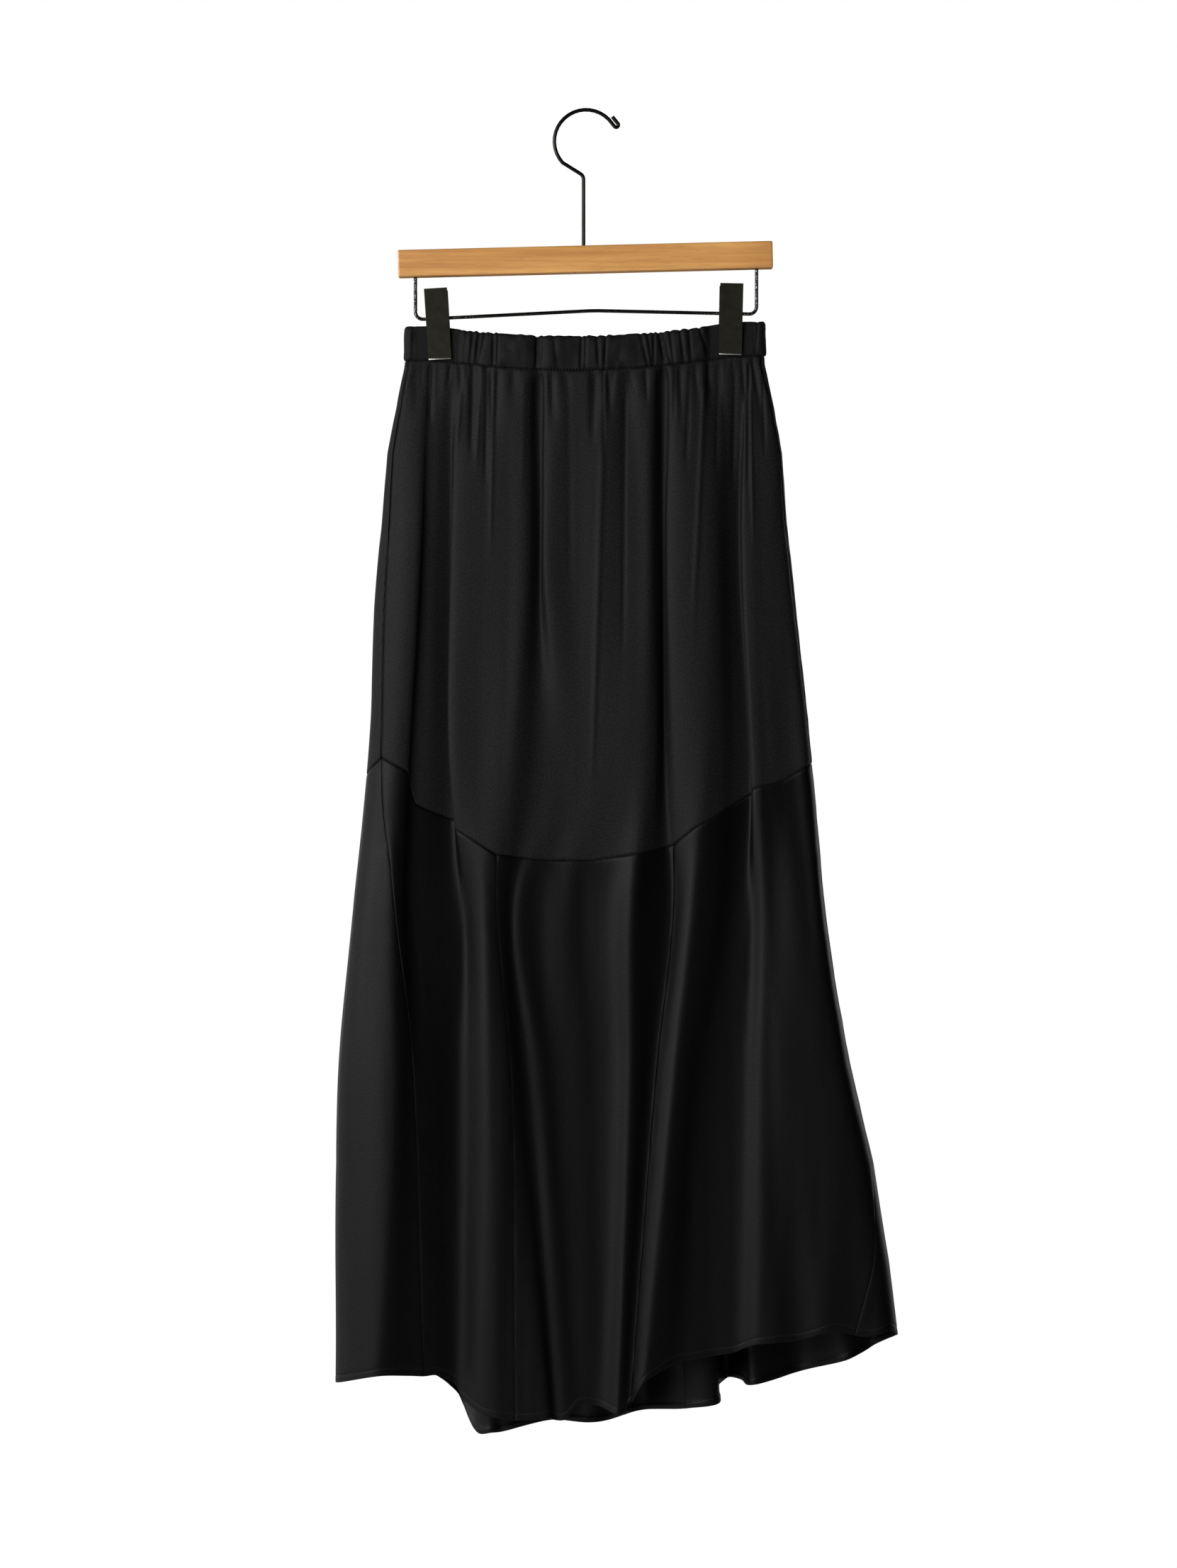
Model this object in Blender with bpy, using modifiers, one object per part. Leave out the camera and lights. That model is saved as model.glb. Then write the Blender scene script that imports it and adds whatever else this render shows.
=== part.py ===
"""A black satin skirt that hangs by two clips from a wooden bar hanger.

Metres, +Z up. The origin is the inside of the hook's top, where a rail carries it. The skirt's front
faces -Y, and +X is to the right of someone who looks at the front.

The skirt is one tube of cloth, cut into a waistband, two gathered hip panels and six flared gores. A
place on the tube is a fold number, counted round from the left side, and a height. Each row of the two
fold tables is one line of the tube, a crest or a trough, and gives where it runs at five levels.
"""

import math
from collections import namedtuple

import bmesh
import bpy
import numpy as np
from mathutils import Matrix, Vector

# The hanger
BAR_LENGTH = 0.317
BAR_HEIGHT = 0.0225
BAR_DEPTH = 0.014
BAR_EDGE = 0.0012
BAR_CENTRE = Vector((-0.0006, 0.0, -0.1253))
BAR_TILT = math.radians(1.4)
HOOK_WIRE = 0.0032
HOOK_RADIUS = 0.0268
HOOK_ARC = (222, 34)
HOOK_FOLD = 0.0019
HOOK_LEAD = 0.003
HOOK_TAIL = 0.0075
SHANK_X = -0.0021
NECK_Z = -0.0575
NECK_BEND = 0.006
NECK_TURN = 52
RAIL_WIRE = 0.0030
RAIL_X = 0.1444
RAIL_BEND = 0.0062
RAIL_LEFT_Z = -0.1757
RAIL_RIGHT_Z = -0.1713
RAIL_PEAK = (0.0066, -0.1684)
RAIL_PEAK_FLAT = 0.004
HOLE_DEPTH = 0.012
FIT = 0.0003

# The clips
CLIP_WIDTH = 0.0195
CLIP_ABOVE_WIRE = 0.0245
CLIP_BELOW_WIRE = 0.0350
PLATE = 0.0012
PLATE_TOP_OUT = 0.0098
PLATE_WIRE_OUT = 0.0080
PLATE_JAW_OUT = 0.0063
JAW_FALL = 0.0006
EAR_HEIGHT = 0.0052
EAR_RISE = 0.0020
EAR_REACH = 0.0032
EAR_INSET = 0.0016
EAR_ANGLES = (8, 50, 90, 130, 172)
GRIP_OUT = 0.0040
GRIP_FLAT = 0.007
GRIP_SIDE = 0.015
GRIP_END = -0.214
GRIP_FADE = 0.050
SPRING_WIRE = 0.0009
SPRING_RADIUS = 0.0027
SPRING_TURNS = 2.5
SPRING_LEG = 0.0125
SPRING_LEG_OUT = 0.0069
SPRING_PITCH = 0.0014

Clip = namedtuple("Clip", "name x tilt")
CLIPS = (
    Clip("left", -0.1256, math.radians(-3.5)),
    Clip("right", 0.1226, math.radians(1.2)),
)

# The skirt
CLOTH = 0.0012
BAND_CLOTH = 0.0016
BAND_HEIGHT = 0.029
BAND_SAG = 0.0108
BAND_LEFT_Z = -0.1818
BAND_RIGHT_Z = -0.1783
BAND_PUFF = 0.0009
SEAM_GAP = 0.0003
POCKET_TOP = -0.240
POCKET_BOTTOM = -0.374
POCKET_GAPE = 0.0022
POCKET_BEHIND = 2
POCKET_AHEAD = 4
POCKET_CLOTH = 0.0010
SLIDE = 0.014

# The waistband's rings from its seam up: share of its height, of its puff and of its creases' depth
Ring = namedtuple("Ring", "share puff crease")
BAND_RINGS = (Ring(0.0, 0.0, 0.3), Ring(0.15, 0.9, 0.9), Ring(0.85, 0.9, 1.0), Ring(1.0, 0.2, 0.7))

# Heights of the five levels that the fold tables give
LEVELS = {"waist": -0.2145, "hip": -0.3855, "yoke": -0.5955, "knee": -0.8055, "hem": -1.0695}

# A line of the tube, in millimetres: how far across and how far out from the middle plane it runs at the
# five levels, and the height of the hem on it
Line = namedtuple("Line", "name across out hem")
FRONT_LINES = (
    Line("left side", (-154, -176, -187, -209, -212), (0, 0, 0, 0, 0), -1073),
    Line("left turn", (-150.8, -172.2, -182.4, -204.2, -206.5), (3.2, 4.4, 5.2, 5.5, 6), -1073),
    Line("left crest", (-142, -149, -159, -167, -173), (4.5, 13, 18, 28, 40), -1065),
    Line("flap edge", (-133.5, -137.5, -148, -146, -136), (4.2, 11.5, 15.5, 18, 20), -1066),
    Line("under the flap", (-130, -140.5, -152, -148, -132), (4.2, 6.5, 7, 9, 13), -1067),
    Line("left recess", (-122, -129, -131, -124, -119), (4.2, 4, 4, 6, 9), -1067),
    Line("recess end", (-113, -117, -116, -106, -107), (4.2, 5, 6, 9, 14), -1075),
    Line("panel edge", (-108, -115, -115, -108, -110), (5, 10, 14, 21, 27), -1086),
    Line("second crest", (-82, -82, -82, -69, -67), (8, 17, 23, 33, 44), -1099),
    Line("second edge", (-52, -56, -69, -58, -27.5), (9, 10, 16, 21, 29), -1101),
    Line("second trough", (-44, -46, -63, -53, -32), (8.8, 7, 12, 15, 16.5), -1104),
    Line("third crest", (-31, -33, -38, -34, -9), (10.5, 13, 18, 24, 34), -1104),
    Line("third trough", (-16, -18, -28, -23, 3), (10.5, 9, 14, 15, 16), -1093),
    Line("fourth crest", (11, 10, -4, 2, 10), (11.5, 17, 22, 21, 21), -1092),
    Line("fourth trough", (28, 32, 10, 12, 16), (10.5, 11, 17, 15, 17), -1093),
    Line("fifth crest", (52, 53, 46, 41, 27), (10, 15, 24, 31, 40), -1099),
    Line("fifth edge", (57, 58, 56, 45, 33), (9, 11, 18, 24, 30), -1097),
    Line("fifth trough", (61, 62, 64, 52, 37), (8, 5, 8, 13, 18), -1092),
    Line("sixth edge", (65, 67, 74, 59, 41), (8.5, 11, 18, 25, 31), -1086),
    Line("sixth crest", (95, 89, 86, 74, 58), (7.5, 17, 25, 33, 42), -1071),
    Line("sixth trough", (122, 114, 113, 98, 77), (4.2, 8, 11, 16, 19), -1063),
    Line("seventh crest", (127, 123, 124, 123, 112), (4.2, 8, 12, 22, 30), -1052),
    Line("seventh trough", (131, 129, 134, 129, 119), (4.2, 7, 10, 17, 23), -1048),
    Line("eighth crest", (135, 136, 142, 145, 145), (4.4, 14, 23, 33, 44), -1041),
    Line("eighth trough", (139, 144, 158, 174, 181), (4.2, 11, 20, 25, 27), -1037),
    Line("ninth crest", (141.5, 151, 170, 194, 205), (4.2, 13, 20, 31, 42), -1029),
    Line("ninth trough", (144, 159, 181, 210.5, 227), (4, 9.5, 13.5, 14.5, 14), -1034),
    Line("last crest", (146.5, 164.5, 187, 217, 251), (3.7, 7.5, 9.5, 10.5, 21), -1029),
    Line("right turn", (149, 169, 191.2, 220.7, 265.5), (3.1, 4.2, 5.2, 5.5, 8), -1033),
    Line("right side", (152, 171.5, 194, 223, 268), (0, 0, 0, 0, 2), -1035),
)
BACK_LINES = (
    Line("right turn back", (149, 169, 191.2, 220.5, 265.5), (3.1, 4.2, 5.2, 5.5, 6), -1038),
    Line("back crest 1", (144, 160, 180, 211, 246), (4, 9, 12, 17, 26), -1049),
    Line("back trough 1", (138, 150, 166, 190, 224), (4.2, 7, 9, 12, 17), -1059),
    Line("back crest 2", (125, 132, 143, 160, 184), (4.2, 14, 19, 28, 40), -1072),
    Line("back trough 2", (110, 112, 118, 129, 141), (4.4, 7, 9, 13, 20), -1081),
    Line("back side 3", (100, 104, 111, 121, 134), (6.2, 10, 15, 26, 42), -1080),
    Line("back crest 3", (88, 92, 98, 108, 121), (8, 16, 24, 38, 60), -1081),
    Line("back side 4", (76, 81, 87, 97, 110), (8.5, 12, 17, 27, 42), -1088),
    Line("back trough 4", (66, 72, 80, 94, 111), (8.5, 8, 9, 12, 16), -1096),
    Line("back trough 5", (52, 56, 62, 72, 84), (9.5, 10, 12, 15, 20), -1101),
    Line("back crest 5", (34, 34, 38, 42, 46), (11.2, 17, 25, 38, 56), -1109),
    Line("back trough 6", (12, 10, 12, 10, 8), (10.5, 10, 12, 16, 22), -1113),
    Line("back crest 6", (-10, -14, -16, -22, -30), (11.2, 17, 24, 37, 54), -1117),
    Line("back side 7", (-30, -38, -44, -52, -62), (10, 12, 15, 22, 34), -1121),
    Line("back trough 7", (-46, -54, -60, -69, -78), (9, 8, 9, 12, 17), -1121),
    Line("back side 8", (-60, -68, -74, -82, -91), (8.8, 11, 14, 18, 24), -1121),
    Line("back crest 8", (-78, -88, -96, -103, -108), (7.8, 16, 23, 36, 52), -1096),
    Line("back trough 8", (-103, -112, -122, -130, -136), (4.6, 8, 11, 15, 20), -1068),
    Line("back crest 9", (-127, -138, -150, -160, -168), (4.2, 15, 22, 34, 48), -1067),
    Line("back trough 9", (-142, -158, -170, -187, -191), (4, 8, 10, 14, 22), -1069),
    Line("left turn back", (-150.8, -172.2, -182.4, -204.2, -206.5), (3.2, 4.4, 5.2, 5.5, 6), -1072),
)

# Small gathers below the waistband: where across, how wide, how deep and how far down they reach
Gather = namedtuple("Gather", "x width depth reach")
FRONT_GATHERS = (
    Gather(-0.147, 0.0045, 0.0014, 0.060),
    Gather(-0.129, 0.0040, 0.0020, 0.055),
    Gather(-0.117, 0.0035, 0.0018, 0.040),
    Gather(-0.107, 0.0035, 0.0018, 0.045),
    Gather(-0.098, 0.0045, 0.0020, 0.080),
    Gather(-0.081, 0.0045, 0.0018, 0.100),
    Gather(-0.065, 0.0040, 0.0014, 0.040),
    Gather(-0.045, 0.0060, 0.0034, 0.190),
    Gather(-0.033, 0.0040, 0.0018, 0.080),
    Gather(-0.022, 0.0040, 0.0012, 0.035),
    Gather(0.004, 0.0045, 0.0024, 0.060),
    Gather(0.016, 0.0040, 0.0020, 0.060),
    Gather(0.029, 0.0060, 0.0026, 0.170),
    Gather(0.046, 0.0040, 0.0016, 0.035),
    Gather(0.061, 0.0045, 0.0034, 0.190),
    Gather(0.076, 0.0045, 0.0020, 0.055),
    Gather(0.088, 0.0045, 0.0020, 0.055),
    Gather(0.102, 0.0050, 0.0022, 0.100),
    Gather(0.115, 0.0040, 0.0016, 0.070),
    Gather(0.126, 0.0045, 0.0020, 0.140),
    Gather(0.138, 0.0040, 0.0020, 0.080),
)
# The back's gathers follow each other evenly, and vary by this much of a step, width, depth and reach
BACK_GATHERS = 20
BACK_GATHER = Gather(0.5, 0.0046, 0.0021, 0.085)
BACK_GATHER_SWAY = Gather(0.25, 0.0006, 0.0007, 0.050)
# A gather is full this far below its start, widens by its own width over this length, and is never
# deeper than this share of the cloth's distance from the middle plane, where that is over the least one
GATHER_START = 0.006
GATHER_WIDENS = 0.12
GATHER_FADE = 1.3
GATHER_SHARE = 0.4
GATHER_LEAST_OUT = 0.0026
BAND_CREASES_FRONT = (
    -0.146, -0.140, -0.109, -0.101, -0.092, -0.086, -0.078, -0.042, -0.036, -0.005, 0.002, 0.010,
    0.017, 0.051, 0.058, 0.065, 0.072, 0.080, 0.086, 0.093, 0.100, 0.107, 0.137, 0.142, 0.147,
)
BAND_CREASES_BACK = 24
BAND_CREASE_SWAY = 0.3
CREASE_WIDTH = 0.0026
CREASE_DEPTH = 0.0011

# The folds are eased over this length of cloth, worked out in this many steps
ROUNDING = 0.0014
ROUNDING_STEPS = 4

# How finely the cloth is worked out: samples from line to line, and heights of the worked sections
SAMPLES = 16
SECTION_STEP = 0.010
SECTION_HEIGHTS = -0.165 - SECTION_STEP * np.arange(98)
SHORTEST = 1e-5

# How finely it is drawn: a column on each line that isn't this near a seam, and more between far lines
COLUMN_PITCH = 0.0100
FINE_ARC = 0.0080
NEAR_SEAM = 0.25
UPPER_ROWS = (0.0, 0.04, 0.10, 0.19, 0.33, 0.49, 0.73, 1.0)
POCKET_ROWS = UPPER_ROWS[2:6]
LOWER_ROWS = tuple(row / 7 for row in range(8))
POCKET_END = 0.020

LINES = FRONT_LINES + BACK_LINES
LINE_COUNT = len(LINES)
PLACES = {line.name: number for number, line in enumerate(LINES)}

# Where the panels are sewn together, as fold numbers: the side seams wander at the five levels
SIDE_SEAM_LEFT = tuple(PLACES["left turn"] + part for part in (0.05, 0.20, 0.54, 1.86, 2.60))
SIDE_SEAM_RIGHT = tuple(PLACES["right side"] - part for part in (1.10, 1.20, 0.80, 1.20, 3.00))
GORE_SEAMS_FRONT = (PLACES["second crest"] + 0.35, PLACES["fifth trough"] + 0.70)
GORE_SEAMS_BACK = (PLACES["back trough 5"], PLACES["back trough 8"] - 0.70)

# A side seam takes the cloth beside it along as it wanders, this many folds far
SEAM_PULL = 4.2

# The yoke seam: a place on the tube and its height. It runs straight along the cloth between these
Mark = namedtuple("Mark", "place height")
YOKE = (
    Mark(SIDE_SEAM_LEFT[2], -0.547),
    Mark(PLACES["flap edge"], -0.558),
    Mark(PLACES["under the flap"] + 0.4, -0.586),
    Mark(PLACES["recess end"], -0.600),
    Mark(GORE_SEAMS_FRONT[0], -0.628),
    Mark(PLACES["third trough"], -0.6335),
    Mark(PLACES["fourth trough"], -0.6335),
    Mark(PLACES["fifth edge"], -0.626),
    Mark(PLACES["sixth edge"], -0.619),
    Mark(PLACES["sixth trough"], -0.595),
    Mark(PLACES["seventh trough"] + 0.3, -0.576),
    Mark(PLACES["ninth crest"], -0.566),
    Mark(SIDE_SEAM_RIGHT[2], -0.550),
    Mark(GORE_SEAMS_BACK[0], -0.621),
    Mark(PLACES["back crest 6"], -0.634),
    Mark(GORE_SEAMS_BACK[1], -0.628),
    Mark(SIDE_SEAM_LEFT[2] + LINE_COUNT, -0.547),
)

LEVEL_HEIGHTS = np.array(list(LEVELS.values()))
ACROSS = np.array([line.across for line in LINES]) / 1000
# The front lines stand out towards -Y and the back lines towards +Y
SIDE_SIGN = np.array([-1.0] * len(FRONT_LINES) + [1.0] * len(BACK_LINES))
DEEP = np.array([line.out for line in LINES]) * SIDE_SIGN[:, None] / 1000
HEMS = np.array([line.hem for line in LINES]) / 1000
RIGHT_SIDE = len(FRONT_LINES) - 1


def ease(t):
    """0 below 0 and 1 above 1, with a smooth change between."""
    t = np.clip(t, 0, 1)
    return t * t * (3 - 2 * t)


def cubic(first, last, leaving, arriving, t):
    """A curve from first to last, with its slopes at the two ends."""
    return (
        first * (2 * t**3 - 3 * t**2 + 1)
        + leaving * (t**3 - 2 * t**2 + t)
        + last * (3 * t**2 - 2 * t**3)
        + arriving * (t**3 - t**2)
    )


def at_height(values, z):
    """Smooth curves through the values of the five levels, read at the heights z. values is (n, 5)."""
    heights = LEVEL_HEIGHTS
    slopes = np.gradient(values, heights, axis=1)
    inside = np.clip(z, heights[-1], heights[0])
    step = np.clip(np.searchsorted(-heights, -inside, side="right") - 1, 0, len(heights) - 2)
    span = heights[step + 1] - heights[step]
    t = (inside - heights[step]) / span
    leaving, arriving = slopes[:, step] * span, slopes[:, step + 1] * span
    curve = cubic(values[:, step], values[:, step + 1], leaving, arriving, t)
    return curve + slopes[:, -1:] * np.minimum(z - heights[-1], 0.0)


def sharp_ring(numbers, x_lines, y_lines):
    """Points at fold numbers on a closed centripetal curve through the lines. x_lines is (lines, n)."""
    whole = np.floor(numbers).astype(int)
    place = np.arange(len(numbers))
    a, b, c, d = (
        np.stack([lines[(whole + k) % LINE_COUNT, place] for lines in (x_lines, y_lines)])
        for k in (-1, 0, 1, 2)
    )
    before, gap, after = (
        np.sqrt(np.maximum(np.linalg.norm(second - first, axis=0), SHORTEST))
        for first, second in ((a, b), (b, c), (c, d))
    )
    leaving = (b - a) / before - (c - a) / (before + gap) + (c - b) / gap
    arriving = (c - b) / gap - (d - b) / (gap + after) + (d - c) / after
    return cubic(b, c, leaving * gap, arriving * gap, numbers - whole)


def rounded(ring):
    """A closed ring of points (2, n) with its folds eased over the cloth's own bending length."""
    closed = np.concatenate([ring, ring[:, :1]], axis=1)
    arc = np.concatenate([[0.0], np.cumsum(np.linalg.norm(np.diff(closed, axis=1), axis=0))])
    even = np.arange(0, arc[-1], ROUNDING / ROUNDING_STEPS)
    even *= arc[-1] / (even[-1] + ROUNDING / ROUNDING_STEPS)
    reach = np.arange(-3 * ROUNDING_STEPS, 3 * ROUNDING_STEPS + 1)
    weights = np.exp(-((reach / ROUNDING_STEPS) ** 2) / 2)
    weights /= weights.sum()
    eased = []
    for row in closed:
        evenly = np.interp(even, arc, row)
        soft = sum(weight * np.roll(evenly, -step) for step, weight in zip(reach, weights))
        eased.append(np.interp(arc[:-1], np.append(even, arc[-1]), np.append(soft, soft[0])))
    return np.array(eased)


def sections():
    """Rounded rings of the tube at many heights: the array is (heights, 2, places)."""
    numbers = np.arange(LINE_COUNT * SAMPLES) / SAMPLES
    rings = []
    for z in SECTION_HEIGHTS:
        level = np.full(len(numbers), z)
        rings.append(rounded(sharp_ring(numbers, at_height(ACROSS, level), at_height(DEEP, level))))
    return np.array(rings)


def clip_share(x):
    """1 where a clip grips the band and 0 away from it, with a smooth change between."""
    shares = []
    for clip in CLIPS:
        shares.append(ease((CLIP_WIDTH / 2 + GRIP_SIDE - np.abs(x - clip.x)) / (GRIP_SIDE - GRIP_FLAT)))
    return np.maximum(*shares)


def smooth_cloth(numbers, z):
    """The tube without its small gathers: points (n, 3) at fold numbers and heights."""
    place = np.mod(numbers, LINE_COUNT) * SAMPLES
    row = np.clip((SECTION_HEIGHTS[0] - z) / SECTION_STEP, 0, len(SECTION_HEIGHTS) - 1.001)
    left, above = np.floor(place).astype(int), np.floor(row).astype(int)
    u, v = place - left, row - above
    right = (left + 1) % (LINE_COUNT * SAMPLES)
    left = left % (LINE_COUNT * SAMPLES)
    upper = SECTIONS[above, :, left].T * (1 - u) + SECTIONS[above, :, right].T * u
    lower = SECTIONS[above + 1, :, left].T * (1 - u) + SECTIONS[above + 1, :, right].T * u
    x, y = upper * (1 - v) + lower * v
    # The clips press the front and the back together, and the cloth opens again below them
    held = clip_share(x) * (1 - ease((GRIP_END - z) / GRIP_FADE))
    y = y + (np.clip(y, -GRIP_OUT, GRIP_OUT) - y) * held
    return np.stack([x, y, z], axis=1)


SECTIONS = sections()


def facing(surface, numbers, z):
    """The outward normal of a surface at fold numbers and heights."""
    aside, above = 1 / SAMPLES, SECTION_STEP / 2
    along = surface(numbers + aside, z) - surface(numbers - aside, z)
    up = surface(numbers, z + above) - surface(numbers, z - above)
    normal = np.cross(along, up)
    return normal / np.linalg.norm(normal, axis=1)[:, None]


def band_top(x):
    """The waistband's top edge: a straight line over the clips, with a sag between them."""
    left, right = CLIPS[0].x, CLIPS[1].x
    share = (x - left) / (right - left)
    straight = BAND_LEFT_Z + (BAND_RIGHT_Z - BAND_LEFT_Z) * share
    return straight - BAND_SAG * np.clip(4 * share * (1 - share), 0, None)


def waist_height(numbers):
    """Where the waistband is sewn to the hip panels."""
    at_waist = np.full(len(numbers), LEVELS["waist"])
    x = smooth_cloth(numbers, at_waist)[:, 0]
    return band_top(x) - BAND_HEIGHT


def arc_lengths(height):
    """Fold numbers round the whole tube and the length of cloth up to each, at one height."""
    numbers = np.arange(LINE_COUNT * SAMPLES + 1) / SAMPLES
    points = smooth_cloth(numbers, np.full(len(numbers), height))
    steps = np.linalg.norm(np.diff(points, axis=0), axis=1)
    return numbers, np.concatenate([[0.0], np.cumsum(steps)])


def arc_at(numbers, table):
    """The length of cloth up to fold numbers, which may go past one turn of the tube."""
    turns = np.floor(numbers / LINE_COUNT)
    return np.interp(numbers - turns * LINE_COUNT, *table) + turns * table[1][-1]


def yoke_height(numbers):
    """The seam between hip panels and gores, straight along the cloth between its corners."""
    table = arc_lengths(LEVELS["yoke"])
    round_again = np.where(numbers < YOKE[0].place, numbers + LINE_COUNT, numbers)
    marks = arc_at(np.array([mark.place for mark in YOKE]), table)
    return np.interp(arc_at(round_again, table), marks, [mark.height for mark in YOKE])


def hem_height(numbers):
    """The hem, smooth through the heights of the lines."""
    whole = np.floor(numbers).astype(int)
    a, b, c, d = (HEMS[(whole + k) % LINE_COUNT] for k in (-1, 0, 1, 2))
    return cubic(b, c, (c - a) / 2, (d - b) / 2, numbers - whole)


def gathers():
    """Rows of (place on the waist's arc, width, depth, reach), front and back."""
    numbers, arc = arc_lengths(LEVELS["waist"])
    points = smooth_cloth(numbers, np.full(len(numbers), LEVELS["waist"]))
    front = numbers <= RIGHT_SIDE
    rows = [(np.interp(g.x, points[front, 0], arc[front]), g.width, g.depth, g.reach) for g in FRONT_GATHERS]
    back_start, back_length = arc[front][-1], arc[-1] - arc[front][-1]
    typical, varies = np.array(BACK_GATHER), np.array(BACK_GATHER_SWAY)
    for k in range(BACK_GATHERS):
        sway, other_sway = math.sin(2.4 * k), math.cos(1.7 * k)
        step, width, depth, reach = typical + varies * (sway, sway, other_sway, sway)
        rows.append((back_start + back_length * (k + step) / BACK_GATHERS, width, depth, reach))
    return np.array(rows), numbers, arc


GATHERS, WAIST_NUMBERS, WAIST_ARC = gathers()


def gathered_cloth(numbers, z):
    """The hip panels' surface: the tube, pressed in along each small gather below the waistband."""
    points = smooth_cloth(numbers, z)
    arc = np.interp(np.mod(numbers, LINE_COUNT), WAIST_NUMBERS, WAIST_ARC)
    below = np.maximum(waist_height(numbers) - z, 0.0)
    place, width, depth, reach = (GATHERS[:, k][:, None] for k in range(4))
    away = arc[None, :] - place
    total = WAIST_ARC[-1]
    away = away - total * np.round(away / total)
    grown = 1 - np.exp(-below / GATHER_START)
    length = np.clip(1 - below / reach, 0, None) ** GATHER_FADE
    spread = width * (1 + below / GATHER_WIDENS)
    press = (depth * np.exp(-((away / spread) ** 2)) * grown * length).sum(axis=0)
    # None at the two sides, where the cloth turns sharply
    out = np.abs(points[:, 1])
    press = np.minimum(press, GATHER_SHARE * out) * ease(out / GATHER_LEAST_OUT - 1)
    return points - facing(smooth_cloth, numbers, z) * press[:, None]


def wander(numbers, z):
    """Fold numbers at heights of columns known by their yoke numbers: they go along with the side seams."""
    moved = numbers
    for path, turns in ((SIDE_SEAM_LEFT, (0, 1)), (SIDE_SEAM_RIGHT, (0,))):
        shift = at_height(np.array([path]), z)[0] - path[2]
        for turn in turns:
            near = np.clip(1 - np.abs(numbers - path[2] - turn * LINE_COUNT) / SEAM_PULL, 0, None)
            moved = moved + shift * near
    return moved


def columns():
    """Fold numbers of the cloth's columns at the yoke, with each seam on one of them."""
    tables = {level: arc_lengths(LEVELS[level]) for level in ("yoke", "knee", "hem")}
    seams = [SIDE_SEAM_LEFT[2], *GORE_SEAMS_FRONT, SIDE_SEAM_RIGHT[2], *GORE_SEAMS_BACK]
    start = seams[0]
    lines = [float(k) for k in range(math.ceil(start), math.floor(start) + LINE_COUNT + 1)]
    lines = [k for k in lines if min(abs(k - seam) for seam in seams) > NEAR_SEAM]
    stops = sorted(lines + seams + [start + LINE_COUNT])
    made = []
    seam_columns = {}
    for first, second in zip(stops, stops[1:]):
        seam_columns[round(first, 3)] = len(made)
        ends = np.array([first, second])
        at_levels = [arc_at(wander(ends, LEVELS[level]), table) for level, table in tables.items()]
        length = max(far - near for near, far in at_levels)
        parts = max(2 if length > FINE_ARC else 1, round(length / COLUMN_PITCH))
        made.extend(first + (second - first) * k / parts for k in range(parts))
    return np.array(made), [seam_columns[round(s, 3)] for s in seams]


COLUMNS, SEAM_COLUMNS = columns()


def column_numbers(index, z):
    """Fold numbers of columns at heights."""
    return wander(COLUMNS[np.mod(index, len(COLUMNS))] + LINE_COUNT * (index // len(COLUMNS)), z)


def new_object(name, mesh, collection, material):
    item = bpy.data.objects.new(name, mesh)
    collection.objects.link(item)
    item.data.materials.append(material)
    return item


def wall(name, outer, inner, collection, material, closed=False):
    """A cloth wall with rims between two grids of points (rows, columns, 3). A closed one is a ring."""
    rows, count = outer.shape[:2]
    points = np.concatenate([outer.reshape(-1, 3), inner.reshape(-1, 3)])
    layer = rows * count
    faces = []

    def four(a, b, c, d):
        """Two triangles across the shorter diagonal, and the same two on the inside."""
        flip = np.linalg.norm(points[b] - points[d]) < np.linalg.norm(points[a] - points[c])
        return ((a, b, d), (b, c, d)) if flip else ((a, b, c), (a, c, d))

    around = count if closed else count - 1
    for row in range(rows - 1):
        for column in range(around):
            side = (column + 1) % count
            a, b = row * count + column, row * count + side
            for triangle in four(a, a + count, b + count, b):
                faces.append(triangle)
                faces.append(tuple(p + layer for p in reversed(triangle)))
    for column in range(around):
        side = (column + 1) % count
        last = (rows - 1) * count
        faces.append((column, side, side + layer))
        faces.append((column, side + layer, column + layer))
        faces.append((last + side, last + column, last + side + layer))
        faces.append((last + column, last + column + layer, last + side + layer))
    if not closed:
        for row in range(rows - 1):
            a, b = row * count, (row + 1) * count
            faces.append((b, a, b + layer))
            faces.append((a, a + layer, b + layer))
            c, d = a + count - 1, b + count - 1
            faces.append((c, d, d + layer))
            faces.append((c, d + layer, c + layer))
    mesh = bpy.data.meshes.new(name)
    mesh.from_pydata([tuple(p) for p in points], [], faces)
    mesh.update()
    mesh.shade_smooth()
    return new_object(name, mesh, collection, material)


def steepness(index, z):
    """How much longer an upright gap is than the same gap measured square to a seam that slopes."""
    points = smooth_cloth(column_numbers(index, z), z)
    along = np.gradient(points, axis=0)
    return np.hypot(1, along[:, 2] / np.hypot(along[:, 0], along[:, 1]))


def panel_grid(first, last, top, bottom, rows, surface, top_gap, bottom_gap):
    """Points of a panel from column first to column last, its normals, and its heights."""
    index = np.arange(first, last + 1)
    z_top, z_bottom = top(index), bottom(index)
    z_top = z_top - top_gap * steepness(index, z_top)
    z_bottom = z_bottom + bottom_gap * steepness(index, z_bottom)
    outer, normals = [], []
    for share in rows:
        z = z_top + (z_bottom - z_top) * share
        numbers = column_numbers(index, z)
        outer.append(surface(numbers, z))
        normal = facing(surface, numbers, z)
        if share in (0.0, 1.0):
            # Level at a panel's ends, so that the walls meet squarely across the seam
            normal[:, 2] = 0.0
            normal /= np.linalg.norm(normal, axis=1)[:, None]
        normals.append(normal)
    return np.array(outer), np.array(normals)


def waist_of(index):
    level = np.full(len(index), LEVELS["waist"])
    return waist_height(column_numbers(index, level))


def yoke_of(index):
    number = COLUMNS[np.mod(index, len(COLUMNS))]
    return yoke_height(number)


def hem_of(index):
    level = np.full(len(index), LEVELS["hem"])
    return hem_height(column_numbers(index, level))


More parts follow.
